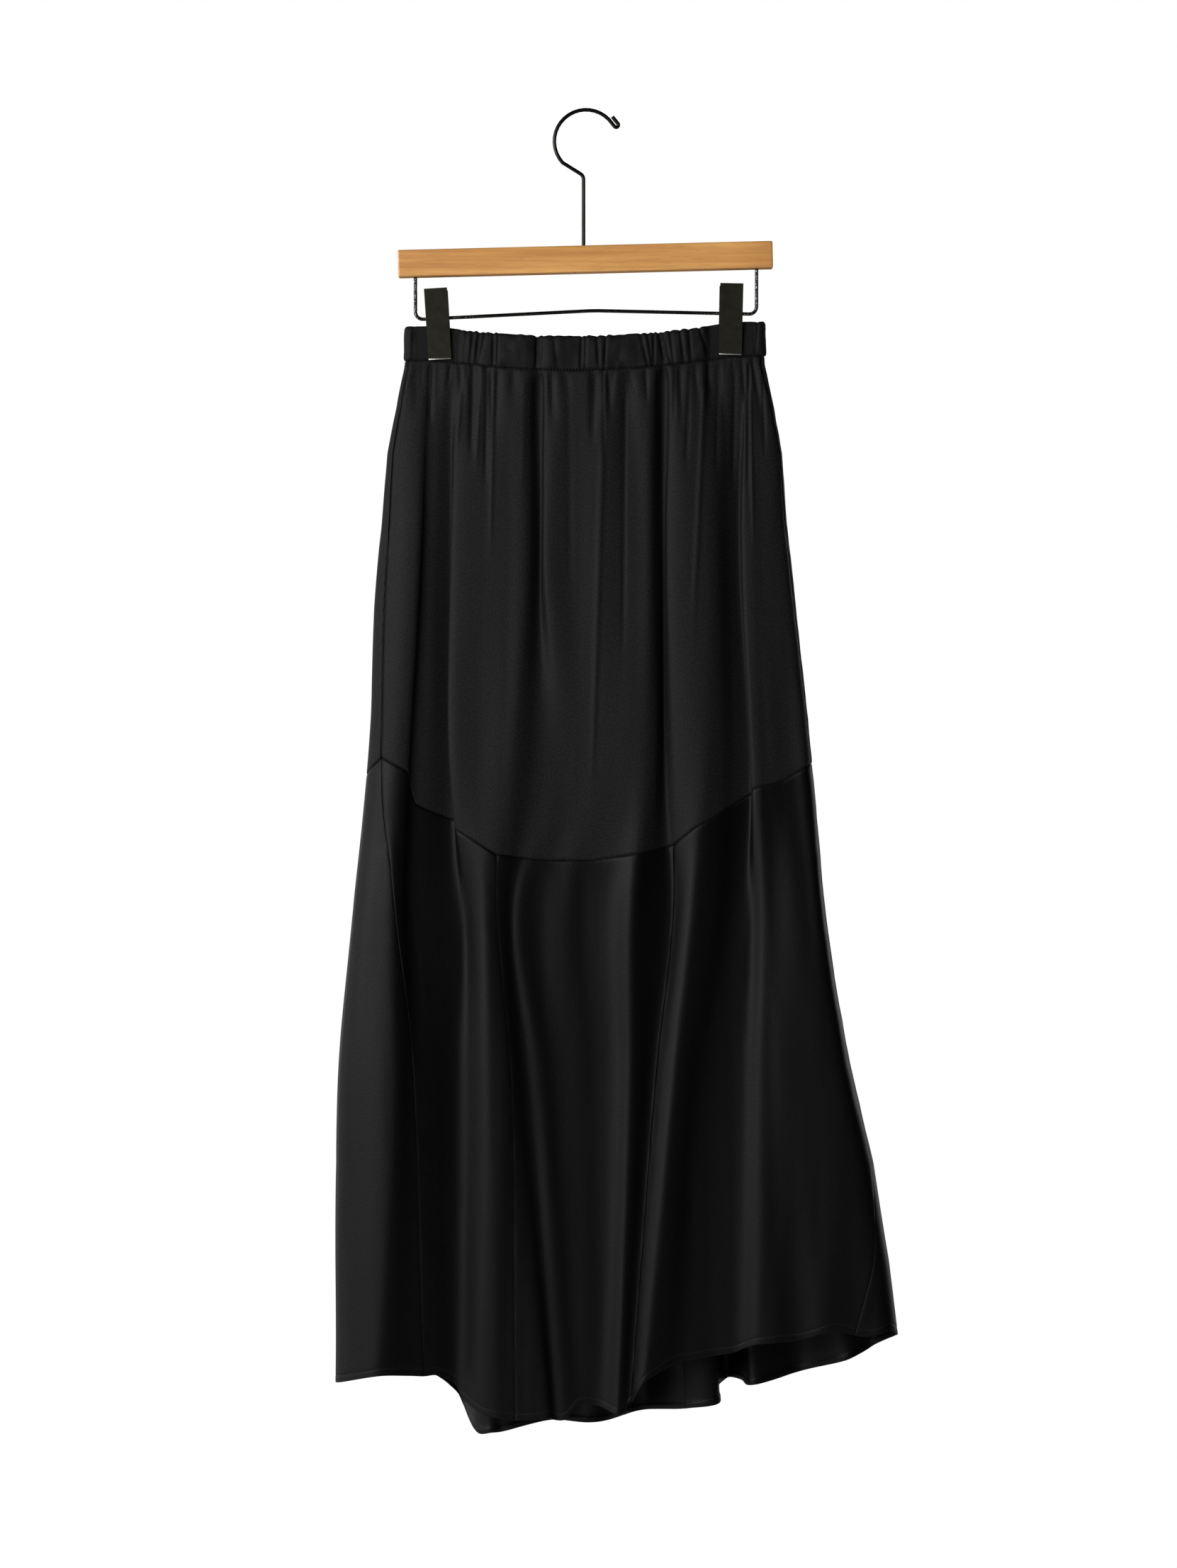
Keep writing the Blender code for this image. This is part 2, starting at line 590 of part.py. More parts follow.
def drawn_in(outer, normals, left_pull, right_pull):
    """Slides the columns beside a panel's two edges along the cloth, which leaves the gap at its seams."""
    for row, (left, right) in enumerate(zip(left_pull, right_pull)):
        steps = np.linalg.norm(np.diff(outer[row], axis=0), axis=1)
        arc = np.concatenate([[0.0], np.cumsum(steps)])
        place = arc + left * np.clip(1 - arc / SLIDE, 0, None)
        place -= right * np.clip(1 - (arc[-1] - arc) / SLIDE, 0, None)
        for grid in (outer, normals):
            grid[row] = np.stack([np.interp(place, arc, grid[row, :, axis]) for axis in range(3)], axis=1)
    return outer, normals / np.linalg.norm(normals, axis=2)[:, :, None]


def pocket_share(z):
    """1 along the pocket's opening and 0 above and below it, with short rounded ends."""
    middle, half = (POCKET_TOP + POCKET_BOTTOM) / 2, (POCKET_TOP - POCKET_BOTTOM) / 2
    return np.clip((half - np.abs(z - middle)) / POCKET_END, 0, 1)


def build_cloth(collection, satin):
    total = len(COLUMNS)
    left, gore_a, gore_b, right, gore_c, gore_d = SEAM_COLUMNS
    half_gap = SEAM_GAP / 2
    for name, first, last in (("hip_panel_front", left, right), ("hip_panel_back", right, left + total)):
        outer, normals = panel_grid(
            first, last, waist_of, yoke_of, UPPER_ROWS, gathered_cloth, half_gap, half_gap)
        gape = [half_gap + POCKET_GAPE / 2 * pocket_share(outer[:, edge, 2]) for edge in (0, -1)]
        outer, normals = drawn_in(outer, normals, *gape)
        wall(name, outer, outer - normals * CLOTH, collection, satin)
    gores = (
        ("gore_front_left", left, gore_a),
        ("gore_front_middle", gore_a, gore_b),
        ("gore_front_right", gore_b, right),
        ("gore_back_right", right, gore_c),
        ("gore_back_middle", gore_c, gore_d),
        ("gore_back_left", gore_d, left + total),
    )
    for name, first, last in gores:
        outer, normals = panel_grid(first, last, yoke_of, hem_of, LOWER_ROWS, smooth_cloth, half_gap, 0.0)
        gaps = np.full(len(LOWER_ROWS), half_gap)
        outer, normals = drawn_in(outer, normals, gaps, gaps)
        wall(name, outer, outer - normals * CLOTH, collection, satin)


def band_relief(arc, front_arc):
    """How far the waistband is pressed in along its creases."""
    total = WAIST_ARC[-1]
    places = list(front_arc)
    back_start = np.interp(RIGHT_SIDE, WAIST_NUMBERS, WAIST_ARC)
    for k in range(BAND_CREASES_BACK):
        step = (k + 0.5 + BAND_CREASE_SWAY * math.sin(2.1 * k)) / BAND_CREASES_BACK
        places.append(back_start + (total - back_start) * step)
    away = arc[None, :] - np.array(places)[:, None]
    away = away - total * np.round(away / total)
    return (CREASE_DEPTH * np.exp(-((away / CREASE_WIDTH) ** 2))).sum(axis=0)


def build_waistband(collection, satin):
    """The elastic casing: a closed ring, puffed between its seam and its top, with its creases."""
    index = np.arange(len(COLUMNS))
    level = np.full(len(index), LEVELS["waist"])
    numbers = column_numbers(index, level)
    seam = waist_height(numbers)
    base = smooth_cloth(numbers, seam)
    out = facing(smooth_cloth, numbers, seam)
    out[:, 2] = 0.0
    out /= np.linalg.norm(out, axis=1)[:, None]
    arc = np.interp(np.mod(numbers, LINE_COUNT), WAIST_NUMBERS, WAIST_ARC)
    front = WAIST_NUMBERS <= RIGHT_SIDE
    waist_x = smooth_cloth(WAIST_NUMBERS, np.full(len(WAIST_NUMBERS), LEVELS["waist"]))[:, 0]
    front_arc = np.interp(BAND_CREASES_FRONT, waist_x[front], WAIST_ARC[front])
    pressed = band_relief(arc, front_arc)
    free = 1 - clip_share(base[:, 0])
    outer = []
    for share, puff, crease in BAND_RINGS:
        ring = base + out * ((BAND_PUFF * puff - pressed * crease) * free)[:, None]
        ring[:, 2] = seam + SEAM_GAP / 2 + (BAND_HEIGHT - SEAM_GAP / 2) * share
        outer.append(ring)
    outer = np.array(outer[::-1])
    inner = np.array([base - out * BAND_CLOTH] * len(outer))
    inner[:, :, 2] = outer[:, :, 2]
    wall("waistband", outer, inner, collection, satin, closed=True)


def build_pockets(collection, satin):
    """The pocket's cloth behind each opening, made from the hip panels' own points, moved in."""
    places = (("pocket_left", SEAM_COLUMNS[0], 1), ("pocket_right", SEAM_COLUMNS[3], -1))
    for name, seam, forward in places:
        first, last = sorted((seam - forward * POCKET_BEHIND, seam + forward * POCKET_AHEAD))
        outer, normals = panel_grid(first, last, waist_of, yoke_of, POCKET_ROWS, gathered_cloth, 0.0, 0.0)
        front = outer - normals * (CLOTH + SEAM_GAP)
        wall(name, front, front - normals * POCKET_CLOTH, collection, satin)


def wire(name, points, diameter, collection, material):
    """A round wire along points, as a curve with filled caps."""
    data = bpy.data.curves.new(name, "CURVE")
    data.dimensions = "3D"
    data.bevel_depth = diameter / 2
    data.bevel_resolution = 2
    data.use_fill_caps = True
    spline = data.splines.new("POLY")
    spline.points.add(len(points) - 1)
    for place, point in zip(spline.points, points):
        place.co = (*point, 1)
    item = bpy.data.objects.new(name, data)
    collection.objects.link(item)
    data.materials.append(material)
    return item


def arc_points(centre, radius, start, end, steps):
    """Points on an arc in the XZ plane, from one angle to another, in degrees."""
    turns = [math.radians(start + (end - start) * k / steps) for k in range(steps + 1)]
    return [Vector((centre[0] + radius * math.cos(a), 0, centre[1] + radius * math.sin(a))) for a in turns]


def build_hook(collection, steel):
    """Shank, neck, round hook and the end that is folded back on itself."""
    bar_top = BAR_CENTRE.z + BAR_HEIGHT / 2
    centre = (0.0, HOOK_WIRE / 2 - HOOK_RADIUS)
    points = [Vector((SHANK_X, 0, bar_top - HOLE_DEPTH))]
    points += arc_points((SHANK_X - NECK_BEND, NECK_Z), NECK_BEND, 0, NECK_TURN, 4)
    points += arc_points(centre, HOOK_RADIUS, *HOOK_ARC, 19)
    tip, way = points[-1], (points[-1] - points[-2]).normalized()
    side = Vector((-way.z, 0, way.x))
    turn = tip + way * HOOK_LEAD + side * HOOK_FOLD
    for k in range(7):
        angle = math.pi * k / 6
        points.append(turn + (way * math.sin(angle) - side * math.cos(angle)) * HOOK_FOLD)
    points.append(points[-1] - way * HOOK_TAIL)
    return wire("hook", points, HOOK_WIRE, collection, steel)


def rail_height(x):
    """The clip rail's centre line, two straight runs that meet at a low peak."""
    peak_x, peak_z = RAIL_PEAK
    left, right = -RAIL_X + RAIL_BEND, RAIL_X - RAIL_BEND
    if x < peak_x:
        return RAIL_LEFT_Z + (peak_z - RAIL_LEFT_Z) * (x - left) / (peak_x - left)
    return RAIL_RIGHT_Z + (peak_z - RAIL_RIGHT_Z) * (right - x) / (right - peak_x)


def build_rail(collection, steel):
    """The wire under the bar that the clips slide on."""
    under = BAR_CENTRE.z - BAR_HEIGHT / 2
    lift = math.tan(BAR_TILT) * RAIL_X
    points = [Vector((-RAIL_X, 0, under - lift + HOLE_DEPTH))]
    points += arc_points((-RAIL_X + RAIL_BEND, RAIL_LEFT_Z + RAIL_BEND), RAIL_BEND, 180, 270, 6)
    for x in (RAIL_PEAK[0] - RAIL_PEAK_FLAT, RAIL_PEAK[0] + RAIL_PEAK_FLAT):
        points.append(Vector((x, 0, rail_height(x))))
    points += arc_points((RAIL_X - RAIL_BEND, RAIL_RIGHT_Z + RAIL_BEND), RAIL_BEND, 270, 360, 6)
    points.append(Vector((RAIL_X, 0, under + lift + HOLE_DEPTH)))
    return wire("clip_rail", points, RAIL_WIRE, collection, steel)


def cut(item, cutter):
    modifier = item.modifiers.new("cut", "BOOLEAN")
    modifier.operation = "DIFFERENCE"
    modifier.object = cutter
    return modifier


def join(item, other):
    modifier = item.modifiers.new("join", "BOOLEAN")
    modifier.operation = "UNION"
    modifier.object = other
    return modifier


def hide(item, helpers):
    for home in list(item.users_collection):
        home.objects.unlink(item)
    helpers.objects.link(item)
    item.hide_render = True
    item.display_type = "WIRE"


def build_bar(collection, helpers, wood):
    """The wooden bar, with its long edges softened and a hole for the hook and for each end of the rail."""
    bpy.ops.mesh.primitive_cube_add(size=1)
    bar = bpy.context.object
    bar.name = "hanger_bar"
    bar.scale = (BAR_LENGTH, BAR_DEPTH, BAR_HEIGHT)
    bpy.ops.object.transform_apply(scale=True)
    bar.location = BAR_CENTRE
    bar.rotation_euler = (0, -BAR_TILT, 0)
    for home in list(bar.users_collection):
        home.objects.unlink(bar)
    collection.objects.link(bar)
    bar.data.materials.append(wood)
    bevel = bar.modifiers.new("edges", "BEVEL")
    bevel.width = BAR_EDGE
    bevel.segments = 2
    hole = HOLE_DEPTH + 2 * FIT
    under = BAR_CENTRE.z - BAR_HEIGHT / 2
    lift = math.tan(BAR_TILT) * RAIL_X
    places = (
        ("hook_hole", SHANK_X, BAR_CENTRE.z + BAR_HEIGHT / 2 - hole / 2 + 0.001, HOOK_WIRE),
        ("rail_hole_left", -RAIL_X, under - lift + hole / 2 - 0.001, RAIL_WIRE),
        ("rail_hole_right", RAIL_X, under + lift + hole / 2 - 0.001, RAIL_WIRE),
    )
    for name, x, z, diameter in places:
        bpy.ops.mesh.primitive_cylinder_add(
            vertices=12, radius=diameter / 2 + FIT, depth=hole + 0.002, location=(x, 0, z))
        drill = bpy.context.object
        drill.name = name
        hide(drill, helpers)
        cut(bar, drill)


def flat_piece(name, outline, x, thickness, hole=None):
    """A plate in the YZ plane at x, cut to an outline of (y, z) points, with a round hole at its origin."""
    data = bpy.data.curves.new(name, "CURVE")
    data.dimensions = "2D"
    data.fill_mode = "BOTH"
    data.extrude = thickness / 2
    rings = [outline]
    if hole:
        turns = [math.tau * k / 12 for k in range(12)]
        rings.append([(hole * math.cos(turn), hole * math.sin(turn)) for turn in turns])
    for ring in rings:
        spline = data.splines.new("POLY")
        spline.points.add(len(ring) - 1)
        spline.use_cyclic_u = True
        for place, (y, z) in zip(spline.points, ring):
            place.co = (y, z, 0, 1)
    curve = bpy.data.objects.new(name, data)
    # The curve's own X and Y are the plate's Y and Z
    curve.matrix_world = Matrix(((0, 0, 1, x), (1, 0, 0, 0), (0, 1, 0, 0), (0, 0, 0, 1)))
    bpy.context.scene.collection.objects.link(curve)
    bpy.context.view_layer.update()
    mesh = bpy.data.meshes.new_from_object(curve.evaluated_get(bpy.context.evaluated_depsgraph_get()))
    edit = bmesh.new()
    edit.from_mesh(mesh)
    bmesh.ops.remove_doubles(edit, verts=edit.verts, dist=1e-6)
    edit.transform(curve.matrix_world)
    bmesh.ops.recalc_face_normals(edit, faces=edit.faces)
    edit.to_mesh(mesh)
    edit.free()
    bpy.data.objects.remove(curve)
    return mesh


def clip_half(name, side, inset, place, collection, helpers, enamel):
    """One half of a clip: a bent plate with a jaw lip and two ears round the rail. side is -1 in front."""
    top, bottom = CLIP_ABOVE_WIRE, -CLIP_BELOW_WIRE
    jaw = GRIP_OUT + FIT
    profile = [
        (side * PLATE_TOP_OUT, top),
        (side * PLATE_WIRE_OUT, 0.0),
        (side * PLATE_JAW_OUT, bottom),
        (side * jaw, bottom),
        (side * jaw, bottom + PLATE),
        (side * (PLATE_JAW_OUT - PLATE), bottom + PLATE + JAW_FALL),
        (side * (PLATE_WIRE_OUT - PLATE), 0.0),
        (side * (PLATE_TOP_OUT - PLATE), top),
    ]
    half = new_object(name, flat_piece(name, profile, 0.0, CLIP_WIDTH), collection, enamel)
    root = side * (PLATE_WIRE_OUT - PLATE / 2)
    ear = [(root, -EAR_HEIGHT), (root, EAR_HEIGHT + EAR_RISE)]
    for angle in np.radians(EAR_ANGLES):
        ear.append((-side * EAR_REACH * math.sin(angle), EAR_HEIGHT * math.cos(angle)))
    for end in (-1, 1):
        x = end * (CLIP_WIDTH / 2 - PLATE / 2 - inset)
        mesh = flat_piece(f"{name}_ear", ear, x, PLATE, hole=RAIL_WIRE / 2 + FIT)
        helper = new_object(f"{name}_ear", mesh, collection, enamel)
        hide(helper, helpers)
        helper.matrix_world = place
        join(half, helper)
    half.matrix_world = place
    return half


def build_spring(name, place, collection, steel):
    """The coil round the rail that closes the clip, with a leg against each half."""
    length = SPRING_TURNS * SPRING_PITCH
    steps = round(8 * SPRING_TURNS)
    points = [Vector((-length / 2, -SPRING_LEG_OUT, SPRING_LEG))]
    for k in range(steps + 1):
        angle = math.tau * SPRING_TURNS * k / steps
        x = -length / 2 + length * k / steps
        points.append(Vector((x, -SPRING_RADIUS * math.cos(angle), SPRING_RADIUS * math.sin(-angle))))
    points.append(Vector((length / 2, SPRING_LEG_OUT, SPRING_LEG)))
    item = wire(name, points, SPRING_WIRE, collection, steel)
    item.matrix_world = place
    return item


def build_clips(collection, helpers, enamel, steel):
    for clip in CLIPS:
        place = Matrix.Translation((clip.x, 0, rail_height(clip.x))) @ Matrix.Rotation(clip.tilt, 4, "Y")
        clip_half(f"clip_{clip.name}_front", -1, 0.0, place, collection, helpers, enamel)
        clip_half(f"clip_{clip.name}_back", 1, EAR_INSET, place, collection, helpers, enamel)
        build_spring(f"clip_{clip.name}_spring", place, collection, steel)


def material(name, colour, roughness, metallic):
    made = bpy.data.materials.new(name)
    made.use_nodes = True
    shader = made.node_tree.nodes["Principled BSDF"]
    shader.inputs["Base Color"].default_value = (*colour, 1)
    shader.inputs["Roughness"].default_value = roughness
    shader.inputs["Metallic"].default_value = metallic
    return made


def main():
    for item in list(bpy.data.objects):
        bpy.data.objects.remove(item)
    parts = bpy.data.collections.new("satin skirt on a clip hanger")
    helpers = bpy.data.collections.new("cutters")
    bpy.context.scene.collection.children.link(parts)
    bpy.context.scene.collection.children.link(helpers)
    satin = material("black_satin", (0.012, 0.012, 0.014), 0.42, 0.0)
    wood = material("beech", (0.56, 0.30, 0.12), 0.45, 0.0)
    steel = material("black_wire", (0.05, 0.05, 0.045), 0.3, 1.0)
    enamel = material("clip_enamel", (0.035, 0.034, 0.025), 0.45, 0.6)
    build_waistband(parts, satin)
    build_cloth(parts, satin)
    build_pockets(parts, satin)
    build_bar(parts, helpers, wood)
    build_hook(parts, steel)
    build_rail(parts, steel)
    build_clips(parts, helpers, enamel, steel)


main()
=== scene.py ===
import math

import bpy
import numpy as np
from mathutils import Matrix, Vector


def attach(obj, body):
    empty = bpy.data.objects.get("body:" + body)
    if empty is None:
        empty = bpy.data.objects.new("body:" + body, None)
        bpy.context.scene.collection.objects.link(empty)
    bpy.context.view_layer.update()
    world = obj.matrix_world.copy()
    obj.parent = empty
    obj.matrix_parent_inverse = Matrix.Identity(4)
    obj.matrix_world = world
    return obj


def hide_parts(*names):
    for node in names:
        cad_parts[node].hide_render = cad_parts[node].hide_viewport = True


# A black satin skirt on a wooden clip hanger. Metres, +Z up, the front faces -Y.
# The skirt is one tube of cloth. A place on it is a fold number, counted round from the left side,
# and a height. The lines below are its crests and troughs at six heights. They start from those of the
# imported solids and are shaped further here, mostly in the front gores.

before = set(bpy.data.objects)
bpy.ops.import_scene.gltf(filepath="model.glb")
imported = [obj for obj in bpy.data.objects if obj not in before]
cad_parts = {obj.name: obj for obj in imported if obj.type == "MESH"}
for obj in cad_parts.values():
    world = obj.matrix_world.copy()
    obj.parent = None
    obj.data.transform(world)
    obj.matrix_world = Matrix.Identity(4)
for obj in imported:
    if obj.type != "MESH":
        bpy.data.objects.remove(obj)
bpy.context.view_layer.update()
print("frame loaded:", len(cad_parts), "nodes")

# Heights of the waist, hip, yoke, flare, knee and hem
levelHeights = np.array([-0.2145, -0.3855, -0.5775, -0.6615, -0.8055, -1.0695])
waistLevel, yokeLevel, hemLevel = levelHeights[[0, 2, 5]]

# name, how far across and how far out at the six heights, height of the hem; all in millimetres
frontLines = (
    ("left side", (-154, -176, -186, -194, -209, -212), (0, 0, 0, 0, 0, 0), -1073),
    ("left turn", (-150.8, -172.2, -182.5, -191.5, -206.5, -208.5), (3.2, 4.4, 7, 9.5, 13, 14), -1073),
    ("left crest", (-142, -151, -163, -163.5, -160.5, -175), (4.5, 12.5, 15.5, 20.5, 28, 33.5), -1065),
    ("flap edge", (-133.5, -139.8, -150.5, -153.5, -147.5, -148), (4.2, 11.8, 13.6, 17, 21.5, 23.5), -1066),
    ("under the flap", (-131.5, -138.2, -148.6, -150.5, -142, -136), (4.2, 7.6, 9.6, 12.2, 19, 20), -1067),
    ("left recess", (-122, -128, -134, -137, -128.5, -125), (4.2, 4.8, 6.2, 9, 14.4, 16.2), -1067),
    ("recess end", (-113, -113, -111.5, -107.8, -108, -110.5), (4.2, 0.7, 1, 3.6, 7.4, 10.4), -1075),
    ("panel edge", (-108, -114.5, -113.5, -104, -101, -104.5), (5, 9.5, 12.5, 5, 8.6, 11.4), -1086),
    ("second crest", (-82, -85, -88, -87.5, -85, -88), (7.5, 13, 16.5, 15.8, 18.8, 21.6), -1098),
    ("second seam", (-66, -66, -73, -75.5, -63.5, -60), (8.5, 14, 18.3, 15.8, 17.6, 21.4), -1104),
    ("second edge", (-48, -49, -62, -67.5, -57, -31), (9, 14.5, 18.2, 13, 13.6, 19.8), -1102),
    ("second trough", (-39, -38.5, -46, -63, -52, -31), (7.5, 6, 12.8, 10.2, 10.8, 15.2), -1104),
    ("third crest", (-36, -35.5, -25, -55, -40, -20), (10.5, 13.3, 11.9, 10.9, 12.1, 16.7), -1104),
    ("third trough", (-12, -11, -11, -36, -28, -9), (10.5, 12.6, 12.3, 8.7, 9.4, 14.8), -1093),
    ("fourth crest", (14, 13, 2, -15, -5, 2), (11.5, 15, 13.3, 10.5, 9.9, 14.5), -1092),
    ("fourth trough", (30, 31, 18, 3, 9, 11.5), (10.5, 14.2, 14.4, 9.8, 9.5, 14.3), -1093),
    ("fifth slope", (42, 44, 34, 22, 25, 19), (10.2, 14.6, 15.5, 12.4, 11.6, 16), -1096),
    ("fifth crest", (55, 55, 50, 39.5, 37.5, 28.5), (10, 15, 16.4, 18.8, 17.8, 23), -1099),
    ("fifth edge", (60, 60, 58, 50.5, 47, 33.5), (9, 11, 13, 14, 13, 19), -1097),
    ("fifth trough", (65.5, 66, 67, 70.5, 56.5, 37), (7.5, 4.5, 4.4, 5.8, 8.2, 16.5), -1092),
    ("sixth edge", (66.5, 68, 74, 76, 62, 40.5), (8.5, 12, 9.8, 7.8, 10.2, 18.4), -1086),
    ("sixth crest", (95, 98, 97, 88, 73, 47), (7.5, 15.4, 16.4, 17.5, 19.5, 25), -1073),
    ("sixth trough", (110, 110, 112, 108, 86, 62), (5.5, 13.2, 12.6, 14.5, 17.5, 22.5), -1063),
    ("seventh crest", (122, 122, 126, 123, 100, 77), (4.3, 4.5, 5.8, 8.2, 10.5, 15.5), -1056),
    ("seventh trough", (130.5, 131, 140.5, 137, 133, 126), (4.2, 1.5, 3.6, 6.6, 8.3, 13), -1048),
    ("eighth edge", (131.5, 131.5, 139.5, 141, 137, 131.5), (4.3, 12, 13.2, 8, 9.2, 14), -1045),
    ("eighth crest", (136, 138, 146, 148, 145.5, 141), (4.4, 13.5, 15.2, 12.8, 14, 20), -1041),
    ("eighth shoulder", (138, 142.5, 152, 153, 155, 160), (4.3, 13.3, 14.5, 13.4, 15, 21), -1039),
    ("eighth trough", (140, 148, 158, 158.5, 164, 182), (4.2, 12.8, 13.9, 13.2, 16.5, 18), -1037),
    ("ninth crest", (142, 154, 167, 174, 182, 207), (4.2, 12.5, 13, 15.2, 17.5, 21), -1029),
    ("ninth trough", (144.5, 161, 175, 186, 203, 226), (4, 11.6, 12.4, 15, 18.2, 18.5), -1034),
    ("last crest", (146.5, 167.4, 186.5, 196, 216.5, 255), (3.7, 9.6, 12.4, 14.5, 16.5, 18), -1029),
    ("right turn", (149, 170.2, 191.4, 200.4, 221.6, 266), (3.1, 5.2, 7, 8, 8.5, 9.5), -1033),
    ("right side", (152, 171.5, 192.5, 201.5, 223, 268), (0, 0, 0, 0, 0, 2), -1035),
)
backLines = (
    ("right turn back", (149, 169, 189, 199.5, 220.5, 265.5), (3.1, 4.2, 5, 5.5, 5.5, 6), -1038),
    ("back crest 1", (144, 160, 178, 189, 211, 246), (4, 9, 11.5, 13.5, 17, 26), -1049),
    ("back trough 1", (138, 150, 164.5, 173, 190, 224), (4.2, 7, 9, 10, 12, 17), -1059),
    ("back crest 2", (125, 132, 142, 148, 160, 184), (4.2, 14, 18.5, 21.5, 28, 40), -1072),
    ("back trough 2", (110, 112, 117.5, 121, 129, 141), (4.4, 7, 9, 10, 13, 20), -1081),
    ("back side 3", (100, 104, 110.5, 114, 121, 134), (6.2, 10, 14.5, 18, 26, 42), -1080),
    ("back crest 3", (88, 92, 97.5, 101, 108, 121), (8, 16, 23, 28, 38, 60), -1081),
    ("back side 4", (76, 81, 86.5, 90, 97, 110), (8.5, 12, 16.5, 19.5, 27, 42), -1088),
    ("back trough 4", (66, 72, 79, 84, 94, 111), (8.5, 8, 9, 10, 12, 16), -1096),
    ("back trough 5", (52, 56, 61.5, 65, 72, 84), (9.5, 10, 12, 13, 15, 20), -1101),
    ("back crest 5", (34, 34, 37.5, 39.5, 42, 46), (11.2, 17, 24, 28.5, 38, 56), -1109),
    ("back trough 6", (12, 10, 12, 11.5, 10, 8), (10.5, 10, 11.5, 13, 16, 22), -1113),
    ("back crest 6", (-10, -14, -15.5, -17.5, -22, -30), (11.2, 17, 23, 27.5, 37, 54), -1117),
    ("back side 7", (-30, -38, -43.5, -46.5, -52, -62), (10, 12, 14.5, 17, 22, 34), -1121),
    ("back trough 7", (-46, -54, -59.5, -62.5, -69, -78), (9, 8, 9, 10, 12, 17), -1121),
    ("back side 8", (-60, -68, -73.5, -76.5, -82, -91), (8.8, 11, 13.5, 15, 18, 24), -1121),
    ("back crest 8", (-78, -88, -95.5, -98.5, -103, -108), (7.8, 16, 22, 26.5, 36, 52), -1096),
    ("back trough 8", (-103, -112, -121, -125, -130, -136), (4.6, 8, 10.5, 12, 15, 20), -1068),
    ("back crest 9", (-127, -138, -149, -153.5, -160, -168), (4.2, 15, 21, 25.5, 34, 48), -1067),
    ("back trough 9", (-142, -158, -169, -175.5, -187, -191), (4, 8, 10, 11, 14, 22), -1069),
    ("left turn back", (-150.8, -172.2, -181, -189, -204.2, -206.5), (3.2, 4.4, 5, 5.5, 5.5, 6), -1072),
)

# Gathers under the waistband, in millimetres: where across, how wide, how deep, how far down
frontGathers = (
    (-147, 4.5, 1.4, 60),
    (-129, 4, 2, 55),
    (-117, 3.5, 1.8, 40),
    (-107, 3.5, 1.8, 45),
    (-98, 4.5, 2, 80),
    (-81, 4.5, 1.8, 100),
    (-65, 4, 1.4, 40),
    (-45, 6, 3.4, 190),
    (-33, 4, 1.8, 80),
    (-22, 4, 1.2, 35),
    (4, 4.5, 2.4, 60),
    (16, 4, 2, 60),
    (29, 6, 2.6, 170),
    (46, 4, 1.6, 35),
    (61, 4.5, 3.4, 190),
    (76, 4.5, 2, 55),
    (88, 4.5, 2, 55),
    (102, 5, 2.2, 100),
    (115, 4, 1.6, 70),
    (126, 4.5, 2, 140),
    (138, 4, 2, 80),
)

cloth = {
    "thickness": 0.0007,
    "rounding": ((-0.60, 0.0012), (-0.70, 0.0022), (-0.85, 0.0032)),   # heights, and how far folds are eased
    "roundSteps": 4,                  # points in that length
    "sideShare": 0.25,                # of the half width is widened at each side
    "hipPitch": (0.0011, 0.0016),     # between columns, front and back
    "gorePitch": (0.0019, 0.0025),
    "rowPitch": 0.0040,
    "fineRows": (0.120, 0.0028),      # rows are closer this far below the waistband
    "coarseRow": 0.0065,
    "clipX": (-0.1256, 0.1226),
    "clipWidth": 0.0195,
    "gripOut": 0.0040,
    "gripFlat": 0.007,
    "gripSide": 0.015,
    "gripEnd": -0.214,
    "gripFade": 0.050,
    "bandHeight": 0.029,
    "bandSag": 0.0108,
    "bandLeftZ": -0.1818,
    "bandRightZ": -0.1783,
    "pocketTop": -0.240,
    "pocketBottom": -0.374,
    "pocketGape": 0.0022,
    "gapeReach": 0.014,               # the cloth slides aside this far from a pocket's edge
    "pocketEnd": 0.020,
}

lines = frontLines + backLines
lineCount = len(lines)
rightSide = len(frontLines) - 1
placeOf = {line[0]: number for number, line in enumerate(lines)}
facingSigns = np.array([-1.0] * len(frontLines) + [1.0] * len(backLines))[:, None]
acrossLines = np.array([line[1] for line in lines]) / 1000
outLines = np.array([line[2] for line in lines]) * facingSigns / 1000
hemLines = np.array([line[3] for line in lines]) / 1000

# Seams between the panels, as fold numbers. The side seams wander over the six heights.
leftSeam = tuple(placeOf["left turn"] + part for part in (0.10, 0.28, 0.62, 1.15, 2.35, 3.00))
rightSeam = tuple(placeOf["right side"] - part for part in (1.10, 1.20, 0.80, 0.84, 0.70, 3.30))
frontSeams = (placeOf["second seam"], placeOf["fifth trough"] + 0.70)
backSeams = (placeOf["back trough 5"], placeOf["back trough 8"] - 0.70)
seamPull = 4.2      # lines on each side that a wandering seam takes with it

# The yoke seam: fold number and height of its corners
yokeMarks = (
    (leftSeam[2], -0.547),
    (placeOf["flap edge"], -0.558),
    (placeOf["under the flap"] + 0.4, -0.586),
    (placeOf["recess end"], -0.600),
    (placeOf["panel edge"], -0.608),
    (frontSeams[0], -0.6285),
    (placeOf["third trough"], -0.6335),
    (placeOf["fourth trough"], -0.6335),
    (placeOf["fifth edge"], -0.626),
    (placeOf["sixth edge"], -0.619),
    (placeOf["sixth trough"], -0.595),
    (placeOf["seventh trough"] + 0.3, -0.576),
    (placeOf["ninth crest"], -0.566),
    (rightSeam[2], -0.550),
    (backSeams[0], -0.621),
    (placeOf["back crest 6"], -0.634),
    (backSeams[1], -0.628),
    (leftSeam[2] + lineCount, -0.547),
)

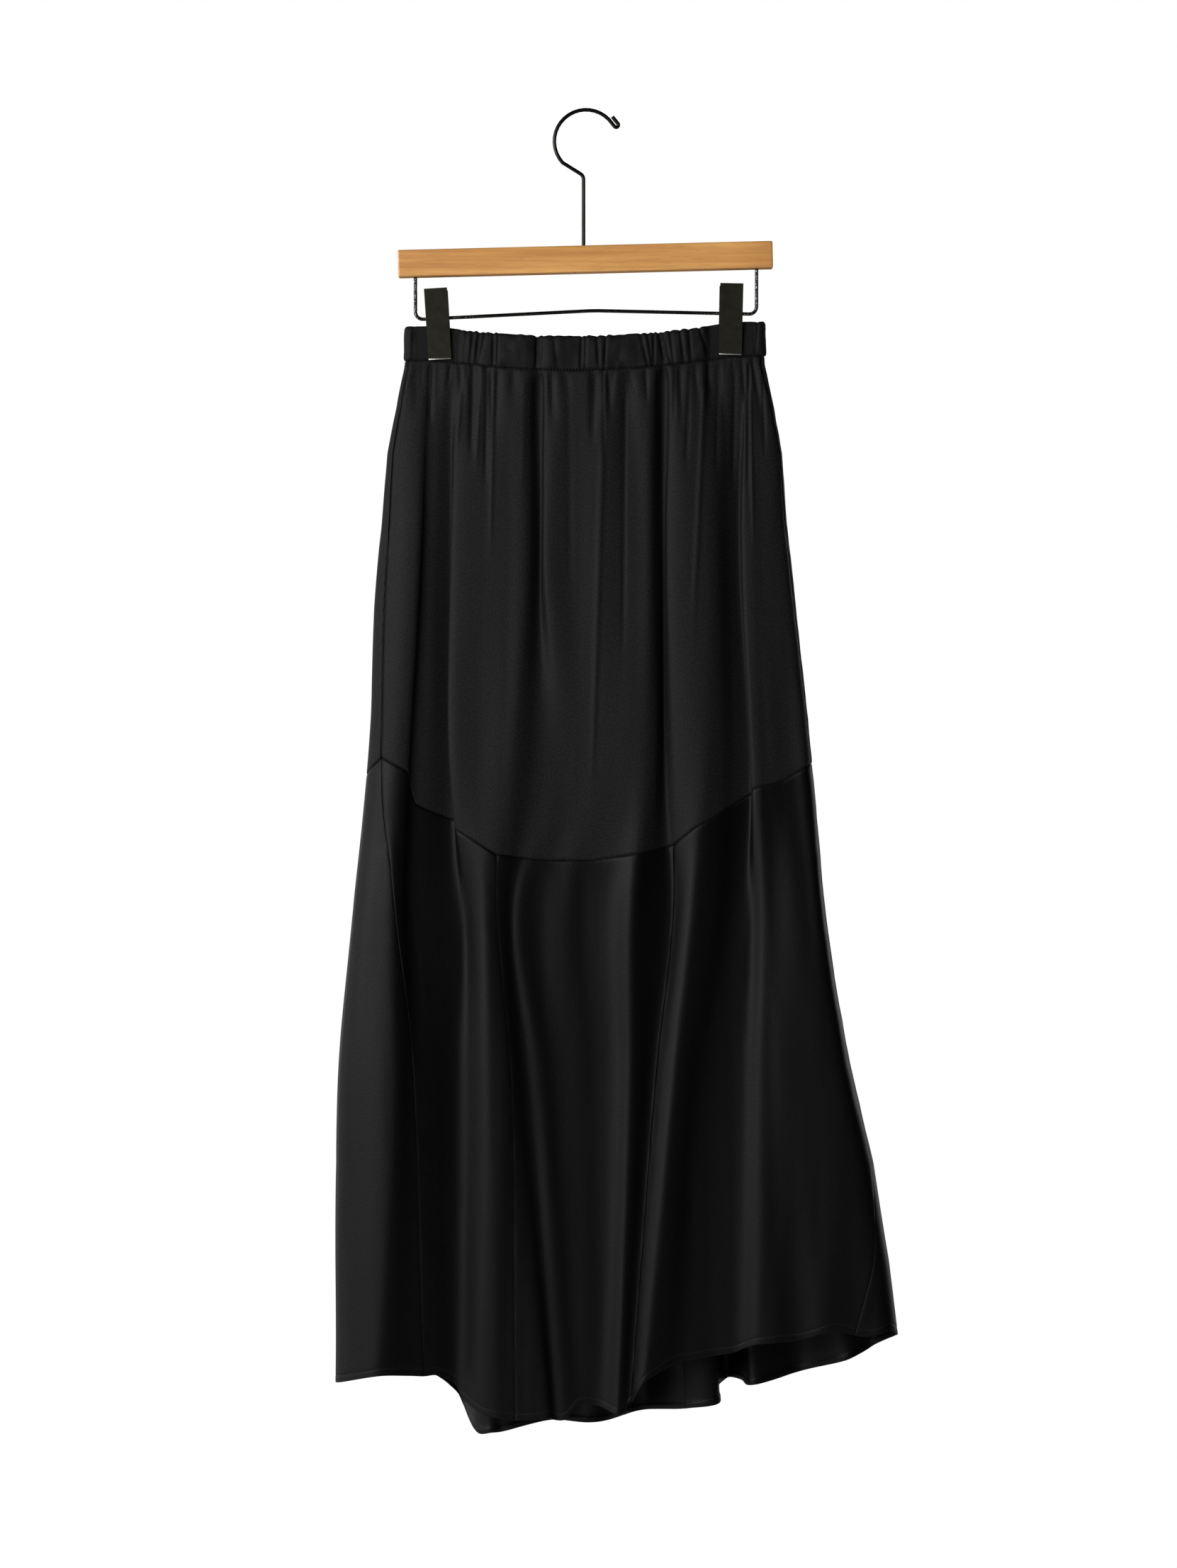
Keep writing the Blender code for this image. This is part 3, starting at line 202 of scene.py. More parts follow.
# How much wider the sides are than the lines give: height, left and right in millimetres
sideMarks = (
    (-0.2145, 0, 0), (-0.2415, 1.8, 3), (-0.2895, 4.2, 6), (-0.3495, 1, 3), (-0.4215, 1, 2.4),
    (-0.5055, 0, 2.4), (-0.5775, 1.5, 1.2), (-0.6615, 2, -0.6), (-0.7335, 1, -1), (-0.8055, 0, 0.6),
    (-0.8895, -1.5, 7), (-0.9735, -0.6, 5.4), (-1.0695, 0, 0),
)
sideZ, sideLeft, sideRight = np.array(sideMarks).T / np.array([[-1], [1000], [1000]])

# The tube is worked out once at these heights, with this many points from one line to the next
samples = 24
sectionTop, sectionStep, sectionCount = -0.165, 0.010, 98
sectionHeights = sectionTop - sectionStep * np.arange(sectionCount)


def ease(t):
    t = np.clip(t, 0, 1)
    return t * t * (3 - 2 * t)


def cubic(first, last, leaving, arriving, t):
    return (
        first * (2 * t**3 - 3 * t**2 + 1)
        + leaving * (t**3 - 2 * t**2 + t)
        + last * (3 * t**2 - 2 * t**3)
        + arriving * (t**3 - t**2)
    )


def atHeight(values, z):
    slopes = np.gradient(values, levelHeights, axis=1)
    inside = np.clip(z, levelHeights[-1], levelHeights[0])
    step = np.clip(np.searchsorted(-levelHeights, -inside, side="right") - 1, 0, len(levelHeights) - 2)
    span = levelHeights[step + 1] - levelHeights[step]
    t = (inside - levelHeights[step]) / span
    curve = cubic(values[:, step], values[:, step + 1], slopes[:, step] * span, slopes[:, step + 1] * span, t)
    return curve + slopes[:, -1:] * np.minimum(z - levelHeights[-1], 0.0)


def sharpRing(numbers, xLines, yLines):
    whole = np.floor(numbers).astype(int)
    place = np.arange(len(numbers))
    a, b, c, d = (
        np.stack([values[(whole + k) % lineCount, place] for values in (xLines, yLines)])
        for k in (-1, 0, 1, 2)
    )
    before, gap, after = (
        np.sqrt(np.maximum(np.linalg.norm(q - p, axis=0), 1e-5)) for p, q in ((a, b), (b, c), (c, d))
    )
    leaving = (b - a) / before - (c - a) / (before + gap) + (c - b) / gap
    arriving = (c - b) / gap - (d - b) / (gap + after) + (d - c) / after
    return cubic(b, c, leaving * gap, arriving * gap, numbers - whole)


def rounded(ring, z):
    closed = np.concatenate([ring, ring[:, :1]], axis=1)
    arc = np.concatenate([[0.0], np.cumsum(np.linalg.norm(np.diff(closed, axis=1), axis=0))])
    heights, lengths = np.array(cloth["rounding"]).T
    steps = cloth["roundSteps"]
    step = float(np.interp(-z, -heights, lengths)) / steps
    even = np.arange(0, arc[-1], step)
    even *= arc[-1] / (even[-1] + step)
    reach = np.arange(-3 * steps, 3 * steps + 1)
    weights = np.exp(-((reach / steps) ** 2) / 2)
    weights /= weights.sum()
    eased = []
    for row in closed:
        evenly = np.interp(even, arc, row)
        soft = sum(weight * np.roll(evenly, -k) for k, weight in zip(reach, weights))
        eased.append(np.interp(arc[:-1], np.append(even, arc[-1]), np.append(soft, soft[0])))
    return np.array(eased)


def allSections():
    numbers = np.arange(lineCount * samples) / samples
    rings = []
    for z in sectionHeights:
        level = np.full(len(numbers), z)
        rings.append(rounded(sharpRing(numbers, atHeight(acrossLines, level), atHeight(outLines, level)), z))
    return np.array(rings)


sections = allSections()


def clipShare(x):
    reach, flat, half = cloth["gripSide"], cloth["gripFlat"], cloth["clipWidth"] / 2
    shares = [ease((half + reach - np.abs(x - clipX)) / (reach - flat)) for clipX in cloth["clipX"]]
    return np.maximum(*shares)


def smoothCloth(numbers, z):
    place = np.mod(numbers, lineCount) * samples
    row = np.clip((sectionHeights[0] - z) / sectionStep, 0, len(sectionHeights) - 1.001)
    left, above = np.floor(place).astype(int), np.floor(row).astype(int)
    u, v = place - left, row - above
    right = (left + 1) % (lineCount * samples)
    left = left % (lineCount * samples)
    rows = []
    for level in (above - 1, above, above + 1, above + 2):
        level = np.clip(level, 0, len(sectionHeights) - 1)
        rows.append(sections[level, :, left].T * (1 - u) + sections[level, :, right].T * u)
    p, a, b, q = rows
    x, y = cubic(a, b, (b - p) / 2, (q - a) / 2, v)
    leftmost, rightmost = atHeight(acrossLines[[0, rightSide]], z)
    x = x - np.interp(-z, sideZ, sideLeft) * ease((x / leftmost - 1) / cloth["sideShare"] + 1)
    x = x + np.interp(-z, sideZ, sideRight) * ease((x / rightmost - 1) / cloth["sideShare"] + 1)
    held = clipShare(x) * (1 - ease((cloth["gripEnd"] - z) / cloth["gripFade"]))
    y = y + (np.clip(y, -cloth["gripOut"], cloth["gripOut"]) - y) * held
    return np.stack([x, y, z], axis=1)


def facing(surface, numbers, z):
    aside, above = 1 / 16, sectionStep / 2
    along = surface(numbers + aside, z) - surface(numbers - aside, z)
    up = surface(numbers, z + above) - surface(numbers, z - above)
    normal = np.cross(along, up)
    return normal / np.linalg.norm(normal, axis=1)[:, None]


def bandTop(x):
    left, right = cloth["clipX"]
    share = (x - left) / (right - left)
    straight = cloth["bandLeftZ"] + (cloth["bandRightZ"] - cloth["bandLeftZ"]) * share
    return straight - cloth["bandSag"] * np.clip(4 * share * (1 - share), 0, None)


def waistHeight(numbers):
    x = smoothCloth(numbers, np.full(len(numbers), waistLevel))[:, 0]
    return bandTop(x) - cloth["bandHeight"]


def arcLengths(height):
    numbers = np.arange(lineCount * samples + 1) / samples
    points = smoothCloth(numbers, np.full(len(numbers), height))
    steps = np.linalg.norm(np.diff(points, axis=0), axis=1)
    return numbers, np.concatenate([[0.0], np.cumsum(steps)])


def arcAt(numbers, arcTable):
    turns = np.floor(numbers / lineCount)
    return np.interp(numbers - turns * lineCount, *arcTable) + turns * arcTable[1][-1]


yokeArc = arcLengths(yokeLevel)
waistArc = arcLengths(waistLevel)


def yokeHeight(numbers):
    roundAgain = np.where(numbers < yokeMarks[0][0], numbers + lineCount, numbers)
    marks = arcAt(np.array([mark[0] for mark in yokeMarks]), yokeArc)
    return np.interp(arcAt(roundAgain, yokeArc), marks, [mark[1] for mark in yokeMarks])


def hemHeight(numbers):
    whole = np.floor(numbers).astype(int)
    a, b, c, d = (hemLines[(whole + k) % lineCount] for k in (-1, 0, 1, 2))
    return cubic(b, c, (c - a) / 2, (d - b) / 2, numbers - whole)


def wander(numbers, z):
    moved = numbers
    for path, turns in ((leftSeam, (0, 1)), (rightSeam, (0,))):
        shift = atHeight(np.array([path]), z)[0] - path[2]
        for turn in turns:
            near = np.clip(1 - np.abs(numbers - path[2] - turn * lineCount) / seamPull, 0, None)
            moved = moved + shift * near
    return moved


# Gathers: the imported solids' own, and finer ones between them that only this script adds
gatherLook = {
    "shift": 0.0022,                  # across, beyond half of a gather's width
    "deeper": 1.2,
    "backCount": 20,
    "backTypical": (0.5, 0.0046, 0.0021, 0.085),   # step, width, depth, reach
    "backVaries": (0.25, 0.0006, 0.0007, 0.050),
    "start": 0.006,
    "widens": 0.12,
    "fade": 1.3,
    "share": 0.4,                     # of the cloth's depth is the most that a gather takes
    "leastOut": 0.0026,
    "backFineCount": 34,
    "backFine": (0.0017, 0.0010, 0.045, 0.0),      # width, depth, reach, slant
    "backFineVaries": (0.0, 0.0004, 0.030, 0.004),
    "fineFade": 1.0,
    "fineShare": 0.3,
    "longStart": (0.06, 0.4),         # share over which a long fold sets in, and how much is there at once
    "longEnd": 0.35,                  # share over which it fades
}
# Fine creases on the front in millimetres: across, width, depth, how far down, how far it slants
fineFront = (
    (-141, 2.2, 0.7, 38, 2), (-134, 2.0, 0.8, 46, -2), (-117.5, 1.5, 1.3, 24, -3),
    (-110, 1.6, 1.2, 30, 4), (-104, 2.0, 0.9, 26, 5), (-93, 1.8, 0.8, 60, -4),
    (-84, 1.5, 1.2, 58, 2), (-77, 1.5, 1.0, 70, -3), (-64, 1.3, 0.8, 24, -2),
    (-42, 2.2, 1.2, 90, -3), (-32.5, 1.7, 1.6, 52, 2), (-22, 1.4, 0.8, 18, 3),
    (5.5, 1.7, 1.5, 56, -1), (15.5, 1.6, 1.6, 42, 2), (21, 1.6, 0.8, 30, -5),
    (33, 1.5, 0.7, 26, 6), (47.5, 1.4, 1.3, 34, 1), (58, 1.8, 0.9, 70, 2),
    (64, 1.8, 1.2, 110, -2), (76, 1.5, 1.2, 60, 1), (88.5, 1.5, 0.9, 36, 3),
    (100.5, 1.4, 1.3, 28, 1), (109, 2.4, 1.0, 90, 6), (121.5, 1.6, 0.9, 40, -3),
    (129, 1.6, 1.0, 60, 2), (138, 1.5, 1.4, 78, 2), (145, 2.0, 0.7, 40, 3),
)

# Long ridges and creases on the front of the hip panel, in millimetres: across and height where each starts,
# the same where it ends, width, depth (less than 0 for a ridge)
longFolds = (
    (15.5, -235, 4, -600, 2.2, -0.9), (100, -232, 89.5, -450, 2.0, -0.9),
    (138.5, -235, 141.5, -380, 1.5, -0.7),
    (-77.5, -214, -81, -390, 1.5, -0.7), (-89, -214, -93, -310, 1.6, -0.8), (-84, -214, -85, -330, 1.7, 1.1),
    (-103, -212, -111, -300, 1.6, -0.8), (-37, -220, -36, -330, 1.5, -0.7),
    (-131, -214, -132, -270, 2.4, 1.4),
    (-96, -214, -97, -300, 2.2, 1.3), (-52, -230, -54, -330, 1.4, -0.4), (14.5, -214, 15, -300, 1.4, 1.2),
    (5, -214, 5.5, -290, 1.5, 1.4), (-15, -225, -13, -420, 1.8, 0.5), (33, -240, 31, -480, 2.2, 0.8),
    (65, -214, 65.5, -330, 1.4, 1.2), (75, -214, 74, -270, 1.2, 0.7), (88, -216, 84, -310, 1.5, 0.9),
    (112, -216, 110, -320, 2.2, 0.9), (126, -216, 124, -330, 2.2, 1.0), (138, -214, 136.5, -330, 1.3, 1.3),
    (150, -225, 151, -300, 1.6, 0.6),
)


def allGathers():
    numbers, arc = waistArc
    points = smoothCloth(numbers, np.full(len(numbers), waistLevel))
    front = numbers <= rightSide

    def onFront(x, width):
        return np.interp(x + width / 2 + gatherLook["shift"], points[front, 0], arc[front])

    rows = []
    for x, width, depth, reach in np.array(frontGathers) / 1000:
        rows.append((onFront(x, width), width, gatherLook["deeper"] * depth, reach))
    backStart, backLength = arc[front][-1], arc[-1] - arc[front][-1]
    typical, varies = np.array(gatherLook["backTypical"]), np.array(gatherLook["backVaries"])
    for k in range(gatherLook["backCount"]):
        sway, otherSway = math.sin(2.4 * k), math.cos(1.7 * k)
        step, width, depth, reach = typical + varies * (sway, sway, otherSway, sway)
        rows.append((backStart + backLength * (k + step) / gatherLook["backCount"], width, depth, reach))
    fine = []
    for x, width, depth, reach, slant in np.array(fineFront) / 1000:
        fine.append((onFront(x, width), width, gatherLook["deeper"] * depth, reach, slant))
    typical, varies = np.array(gatherLook["backFine"]), np.array(gatherLook["backFineVaries"])
    for k in range(gatherLook["backFineCount"]):
        place = backStart + backLength * (k + 0.5 + 0.3 * math.sin(3.1 * k)) / gatherLook["backFineCount"]
        sways = (0, math.sin(5 * k), math.cos(2.2 * k), math.sin(1.3 * k))
        fine.append((place, *(typical + varies * sways)))
    return np.array(rows), np.array(fine)


gatherRows, fineRows = allGathers()


def pressAt(rows, arc, below, fade):
    place, width, depth, reach = (rows[:, k][:, None] for k in range(4))
    slant = rows[:, 4][:, None] if rows.shape[1] > 4 else 0.0
    away = arc[None, :] - place - slant * below / reach
    total = waistArc[1][-1]
    away = away - total * np.round(away / total)
    grown = 1 - np.exp(-below / gatherLook["start"])
    length = np.clip(1 - below / reach, 0, None) ** fade
    spread = width * (1 + below / gatherLook["widens"])
    return (depth * np.exp(-((away / spread) ** 2)) * grown * length).sum(axis=0)


def longPress(points):
    x, y, z = points.T
    begin, begun = gatherLook["longStart"]
    pressed = 0.0
    for startX, startZ, endX, endZ, width, depth in np.array(longFolds) / 1000:
        share = (startZ - z) / (startZ - endZ)
        length = ease(share / begin + begun) * ease((1 - share) / gatherLook["longEnd"])
        pressed = pressed + depth * np.exp(-(((x - startX - (endX - startX) * share) / width) ** 2)) * length
    return pressed * (y < 0)


def gatheredCloth(numbers, z):
    points = smoothCloth(numbers, z)
    arc = np.interp(np.mod(numbers, lineCount), *waistArc)
    below = np.maximum(waistHeight(numbers) - z, 0.0)
    press = pressAt(gatherRows, arc, below, gatherLook["fade"])
    out = np.abs(points[:, 1])
    press = np.minimum(press, gatherLook["share"] * out) * ease(out / gatherLook["leastOut"] - 1)
    fine = pressAt(fineRows, arc, below, gatherLook["fineFade"]) + longPress(points)
    press = press + np.minimum(fine, gatherLook["fineShare"] * out)
    return points - facing(smoothCloth, numbers, z) * press[:, None]


def softNoise(points, seed):
    # Smooth values from -1 to 1 at points already divided by the size wanted.
    # The large numbers only stir the bits of each corner's place.
    cell = np.floor(points).astype(np.int64)
    part = points - cell
    blend = part * part * (3 - 2 * part)
    total = 0.0
    for corner in range(8):
        offset = np.array([(corner >> axis) & 1 for axis in range(3)])
        where = cell + offset
        mixed = where[:, 0] * 73856093 ^ where[:, 1] * 19349663 ^ where[:, 2] * 83492791 ^ seed * 2654435761
        mixed = (mixed ^ (mixed >> 13)) * 1274126177 & 0xFFFFFFFF
        value = ((mixed ^ (mixed >> 16)) & 0xFFFF) / 32767.5 - 1
        weight = np.prod(np.where(offset, blend, 1 - blend), axis=1)
        total = total + value * weight
    return total


def flatNoise(u, v, seed):
    return softNoise(np.stack([u.ravel(), v.ravel(), u.ravel() * 0], axis=1), seed).reshape(u.shape)


wrinkles = {
    "broad": (0.024, 0.230, 0.0007),    # size across, size down, height of the ridges
    "fine": (0.009, 0.090, 0.00022),
    "apart": 7.3,                       # so that the two sizes don't fall together
    "hipShare": 0.5,
    "calm": (0.012, 0.020, 0.35),       # weaker this near to a side and the top, and how much is left there
    "seamPucker": (0.0105, 0.00035),    # length of a pucker along a seam and its height
    "puckerSize": (0.002, 0.010, 0.030),   # from a seam: where puckers start, fade and change
    "seamDip": (0.0012, 0.00075),       # half width of the valley along a seam and its depth
    "goreDip": 0.25,                    # share of that depth between two gores
    "hemTurn": 0.0056,                  # how far above the edge the hem is stitched
    "hemGroove": (0.0007, 0.0002),      # half width and depth of the stitched line
    "hemFlutter": (0.018, 0.200, 0.0007, 0.020),   # size across, size down, height, reach up
    "hemDouble": (0.0008, 0.0012),      # how much thicker the turning is, and the length over which it starts
}


def wrinkleHeight(points, strength):
    total = 0.0
    for seed, key in enumerate(("broad", "fine")):
        across, down, height = wrinkles[key]
        places = points / (across, across, down) + wrinkles["apart"] * seed
        total = total + height * softNoise(places, seed + 1)
    return total * strength


def gridNormals(points):
    along = np.gradient(points, axis=1)
    down = np.gradient(points, axis=0)
    normal = np.cross(down, along)
    return normal / np.maximum(np.linalg.norm(normal, axis=2), 1e-12)[:, :, None]


def clothMesh(name, outer, inner, uv, facts, finish, ring=False):
    # Two skins and their rims from grids of points (rows, columns)
    rows, count = outer.shape[:2]
    layer = rows * count
    points = np.concatenate([outer.reshape(-1, 3), inner.reshape(-1, 3)])
    row, column = np.meshgrid(np.arange(rows - 1), np.arange(count if ring else count - 1), indexing="ij")
    beside = (column + 1) % count
    a, b = row * count + column, row * count + beside
    front = np.stack([a, a + count, b + count, b], axis=-1).reshape(-1, 4)
    back = front[:, ::-1] + layer
    faces = [front, back]
    column = np.arange(count if ring else count - 1)
    beside = (column + 1) % count
    last = (rows - 1) * count
    faces.append(np.stack([column, beside, beside + layer, column + layer], axis=-1))
    column, beside = last + column, last + beside
    faces.append(np.stack([beside, column, column + layer, beside + layer], axis=-1))
    if not ring:
        a = np.arange(rows - 1) * count
        faces.append(np.stack([a + count, a, a + layer, a + count + layer], axis=-1))
        c = a + count - 1
        faces.append(np.stack([c, c + count, c + count + layer, c + layer], axis=-1))
    faces = np.concatenate(faces)
    mesh = bpy.data.meshes.new(name)
    mesh.vertices.add(len(points))
    mesh.vertices.foreach_set("co", points.ravel())
    mesh.loops.add(faces.size)
    mesh.loops.foreach_set("vertex_index", faces.ravel())
    mesh.polygons.add(len(faces))
    mesh.polygons.foreach_set("loop_start", np.arange(len(faces)) * 4)
    mesh.update(calc_edges=True)
    mesh.validate()
    flat = np.concatenate([uv.reshape(-1, 2), uv.reshape(-1, 2)])
    layerUv = mesh.uv_layers.new(name="cloth")
    layerUv.data.foreach_set("uv", flat[faces.ravel()].ravel())
    for key, values in facts.items():
        attribute = mesh.attributes.new(key, "FLOAT", "POINT")
        both = np.concatenate([values.ravel(), values.ravel()])
        attribute.data.foreach_set("value", both.astype(np.float32))
    mesh.shade_smooth()
    item = bpy.data.objects.new(name, mesh)
    bpy.context.scene.collection.objects.link(item)
    mesh.materials.append(finish)
    return item


def pitched(length, pitch, fineStart, fineEnd):
    # Places along a length: close together near the ends, even between
    start, end = np.array(fineStart), length - np.array(fineEnd)[::-1]
    count = max(2, round((end[0] - start[-1]) / pitch))
    return np.concatenate([start, np.linspace(start[-1], end[0], count + 1)[1:-1], end]) / length


# Rows and columns beside a seam, and up from the hem's edge
seamSteps = (0.0, 0.0005, 0.0011, 0.0019, 0.0032)
hemSteps = (0.0, 0.0007, 0.0016, 0.0028, 0.0040, 0.0050, 0.0056, 0.0062, 0.0074, 0.0095)
finePlaces = 4000     # fold numbers tried across a panel before its columns are chosen


def hipRows(length):
    near, pitch = cloth["fineRows"]
    top = np.arange(near, seamSteps[-1], -pitch)[::-1]
    end = length - np.array(seamSteps)[::-1]
    count = round((end[0] - near) / cloth["coarseRow"])
    return np.concatenate([seamSteps, top, np.linspace(near, end[0], count + 1)[1:-1], end]) / length


def panelPoints(seamPair, topOf, bottomOf, surface, endSteps, arcLevel, strength, pitch, gape=None):
    # One panel's outer points, its cloth coordinates and its distances from seams
    numbers = np.linspace(*seamPair, finePlaces)
    arcTable = arcLengths(arcLevel)
    arc = arcAt(wander(numbers, arcLevel), arcTable)
    arc -= arc[0]
    shares = pitched(arc[-1], pitch, seamSteps, seamSteps)
    numbers = np.interp(shares * arc[-1], arc, numbers)
    top, bottom = topOf(numbers), bottomOf(numbers)
    length = float(np.mean(top - bottom))
    rows = hipRows(length) if gape else pitched(length, cloth["rowPitch"], seamSteps, endSteps)
    outer = np.zeros((len(rows), len(numbers), 3))
    for k, share in enumerate(rows):
        z = top + (bottom - top) * share
        outer[k] = surface(wander(numbers, z), z)
    step = np.linalg.norm(np.diff(outer, axis=1), axis=2)
    fromLeft = np.concatenate([np.zeros((len(rows), 1)), np.cumsum(step, axis=1)], axis=1)
    fromRight = fromLeft[:, -1:] - fromLeft
    if gape is not None:
        # The pocket's edges stand apart, and the cloth beside them slides along itself
        reach = cloth["gapeReach"]
        for k in range(len(rows)):
            pull = gape(outer[k, :, 2])
            arcRow = fromLeft[k]
            place = arcRow + pull[0] * np.clip(1 - arcRow / reach, 0, None)
            place -= pull[-1] * np.clip(1 - (arcRow[-1] - arcRow) / reach, 0, None)
            outer[k] = np.stack([np.interp(place, arcRow, outer[k, :, axis]) for axis in range(3)], axis=1)
    step = np.linalg.norm(np.diff(outer, axis=0), axis=2)
    fromTop = np.concatenate([np.zeros((1, len(numbers))), np.cumsum(step, axis=0)], axis=0)
    fromBottom = fromTop[-1:] - fromTop
    normals = gridNormals(outer)
    flat = outer.reshape(-1, 3)
    lift = wrinkleHeight(flat, strength).reshape(len(rows), -1)
    sideCalm, topCalm, least = wrinkles["calm"]
    free = ease(np.minimum(fromLeft, fromRight) / sideCalm) * ease(fromTop / topCalm)
    lift = lift * (least + (1 - least) * free)
    uv = np.stack([fromLeft - fromLeft[:, -1:] / 2, -fromTop], axis=2)
    return outer, normals, lift, uv, fromLeft, fromRight, fromTop, fromBottom


def seamShape(distance, along, seed, closed=1.0):
    # Valley and puckers beside a seam
    width, depth = wrinkles["seamDip"]
    length, height = wrinkles["seamPucker"]
    start, reach, change = wrinkles["puckerSize"]
    near = np.exp(-distance / reach) * (1 - np.exp(-distance / start))
    valley = -depth * np.exp(-((distance / width) ** 2)) * closed
    return valley + height * near * flatNoise(along / length, distance / change, seed)


def pocketShare(z):
    top, bottom = cloth["pocketTop"], cloth["pocketBottom"]
    return np.clip(((top - bottom) / 2 - np.abs(z - (top + bottom) / 2)) / cloth["pocketEnd"], 0, 1)


def waistOf(numbers):
    return waistHeight(wander(numbers, np.full(len(numbers), waistLevel)))


def hemOf(numbers):
    return hemHeight(wander(numbers, np.full(len(numbers), hemLevel)))


class Link:
    # A shader socket that Python's operators work on
    def __init__(self, maker, socket):
        self.maker = maker
        self.socket = socket

    def maths(self, operation, *values):
        return self.maker.add("ShaderNodeMath", {"operation": operation}, values)

    def __add__(self, other):
        return self.maths("ADD", self, other)

    def __radd__(self, other):
        return self.maths("ADD", other, self)

    def __sub__(self, other):
        return self.maths("SUBTRACT", self, other)

    def __rsub__(self, other):
        return self.maths("SUBTRACT", other, self)

    def __mul__(self, other):
        return self.maths("MULTIPLY", self, other)

    def __rmul__(self, other):
        return self.maths("MULTIPLY", other, self)

    def __truediv__(self, other):
        return self.maths("DIVIDE", self, other)

    def __gt__(self, other):
        return self.maths("GREATER_THAN", self, other)

    def near(self, centre, width):
        # 1 at the centre, falling to 0 at a width from it
        off = self.maths("ABSOLUTE", self - centre)
        return self.maths("MAXIMUM", 1 - off / width, 0.0)

    def part(self):
        return self.maths("FRACT", self)


class Finish:
    # A material with one principled shader; settings go straight on its sockets
    def __init__(self, name, settings):
        self.material = bpy.data.materials.new(name)
        self.material.use_nodes = True
        self.tree = self.material.node_tree
        self.shader = self.tree.nodes["Principled BSDF"]
        self.feed(settings)

    def join(self, value, socket):
        if isinstance(value, Link):
            self.tree.links.new(value.socket, socket)
        else:
            socket.default_value = value

    def add(self, kind, settings=None, values=(), output=0):
        node = self.tree.nodes.new(kind)
        for key, value in (settings or {}).items():
            setattr(node, key, value)
        for key, value in values.items() if isinstance(values, dict) else enumerate(values):
            self.join(value, node.inputs[key])
        return Link(self, node.outputs[output])

    def feed(self, values):
        for key, value in values.items():
            self.join(value, self.shader.inputs[key])

    def mix(self, share, first, second):
        # Of two colours, each a link or (r, g, b)
        pair = [colour if isinstance(colour, Link) else (*colour, 1) for colour in (first, second)]
        return self.add("ShaderNodeMix", {"data_type": "RGBA"}, {0: share, 6: pair[0], 7: pair[1]}, output=2)

    def noise(self, vector, scale, detail=2.0, rough=0.5):
        placed = self.add("ShaderNodeMapping", {}, {"Vector": vector, "Scale": scale})
        values = {"Vector": placed, "Scale": 1.0, "Detail": detail, "Roughness": rough}
        return self.add("ShaderNodeTexNoise", {}, values)

    def bump(self, height, distance=0.001):
        return self.add("ShaderNodeBump", {}, {"Height": height, "Distance": distance}, output="Normal")


# Satin: fine floating threads, a soft broad gloss and the sewing that lies in the cloth
upperSatin = {
    "dark": (0.0040, 0.0040, 0.0042),
    "light": (0.0136, 0.0136, 0.0142),
    "roughness": 0.60,
    "roughnessVaries": (0.10, 0.06),  # with the threads and with the broad clouds
    "specular": 0.12,
    "threadSize": (1300, 620, 1),     # thread groups to a metre, across and along
    "grainSize": (560, 560, 1),
    "grainShare": 0.7,                # of the change from dark to light, the clouds make the rest
    "cloudSize": (60, 9, 1),
    "crumpleSize": (90, 34, 1),
    "threadDepth": 0.075,             # in millimetres, as are the next two
    "pickDepth": 0.045,
    "crumple": 0.12,
    "seam": (0.0006, 0.8),            # half width of the dark line in a seam, and how dark it is
    "seamColour": (0.001, 0.001, 0.001),
    "stitch": (0.0027, 0.34),         # length of a stitch, and half the share of it that shows
}
lowerSatin = dict(
    upperSatin, dark=(0.0004, 0.0004, 0.0005), light=(0.0024, 0.0024, 0.0026), roughness=0.485, specular=0.150
)
bandSatin = dict(upperSatin, roughness=0.62, dark=(0.0045, 0.0045, 0.0047), light=(0.0100, 0.0100, 0.0105))
insideSatin = dict(upperSatin, dark=(0.004, 0.004, 0.004), light=(0.006, 0.006, 0.006))

# Stitched rows: distance from the edge, half width, how far the thread stands out and the row sinks in
# millimetres, and how much the thread shows
hemRow = {"place": 0.0055, "half": 0.00045, "out": 0.20, "sink": 0.12, "show": 0.7}
pocketRow = {"place": 0.0050, "half": 0.0005, "out": 0.20, "sink": 0.15, "show": 0.7}
threadColour = (0.020, 0.020, 0.021)
# The band's stitched row: place, half width, how far the row sinks in, a painted shadow over the whole sunk
# row, and how much the thread shows. The thread and that painted shadow share one dark colour.
bandRow = {"place": 0.0009, "half": 0.0009, "sink": 0.45, "between": 0.35, "show": 0.6}
bandThreadAndShadowColour = (0.0008, 0.0008, 0.0008)


def fact(made, name):
    return made.add("ShaderNodeAttribute", {"attribute_name": name}, output="Fac")


def stitched(made, look, row, away, along, height, shade):
    length, half = look["stitch"]
    near = away.near(row["place"], row["half"])
    dash = (along / length).part().near(0.5, half)
    height = height + near * dash * row["out"] - near * row["sink"]
    return height, made.mix(near * dash * row["show"], shade, threadColour)


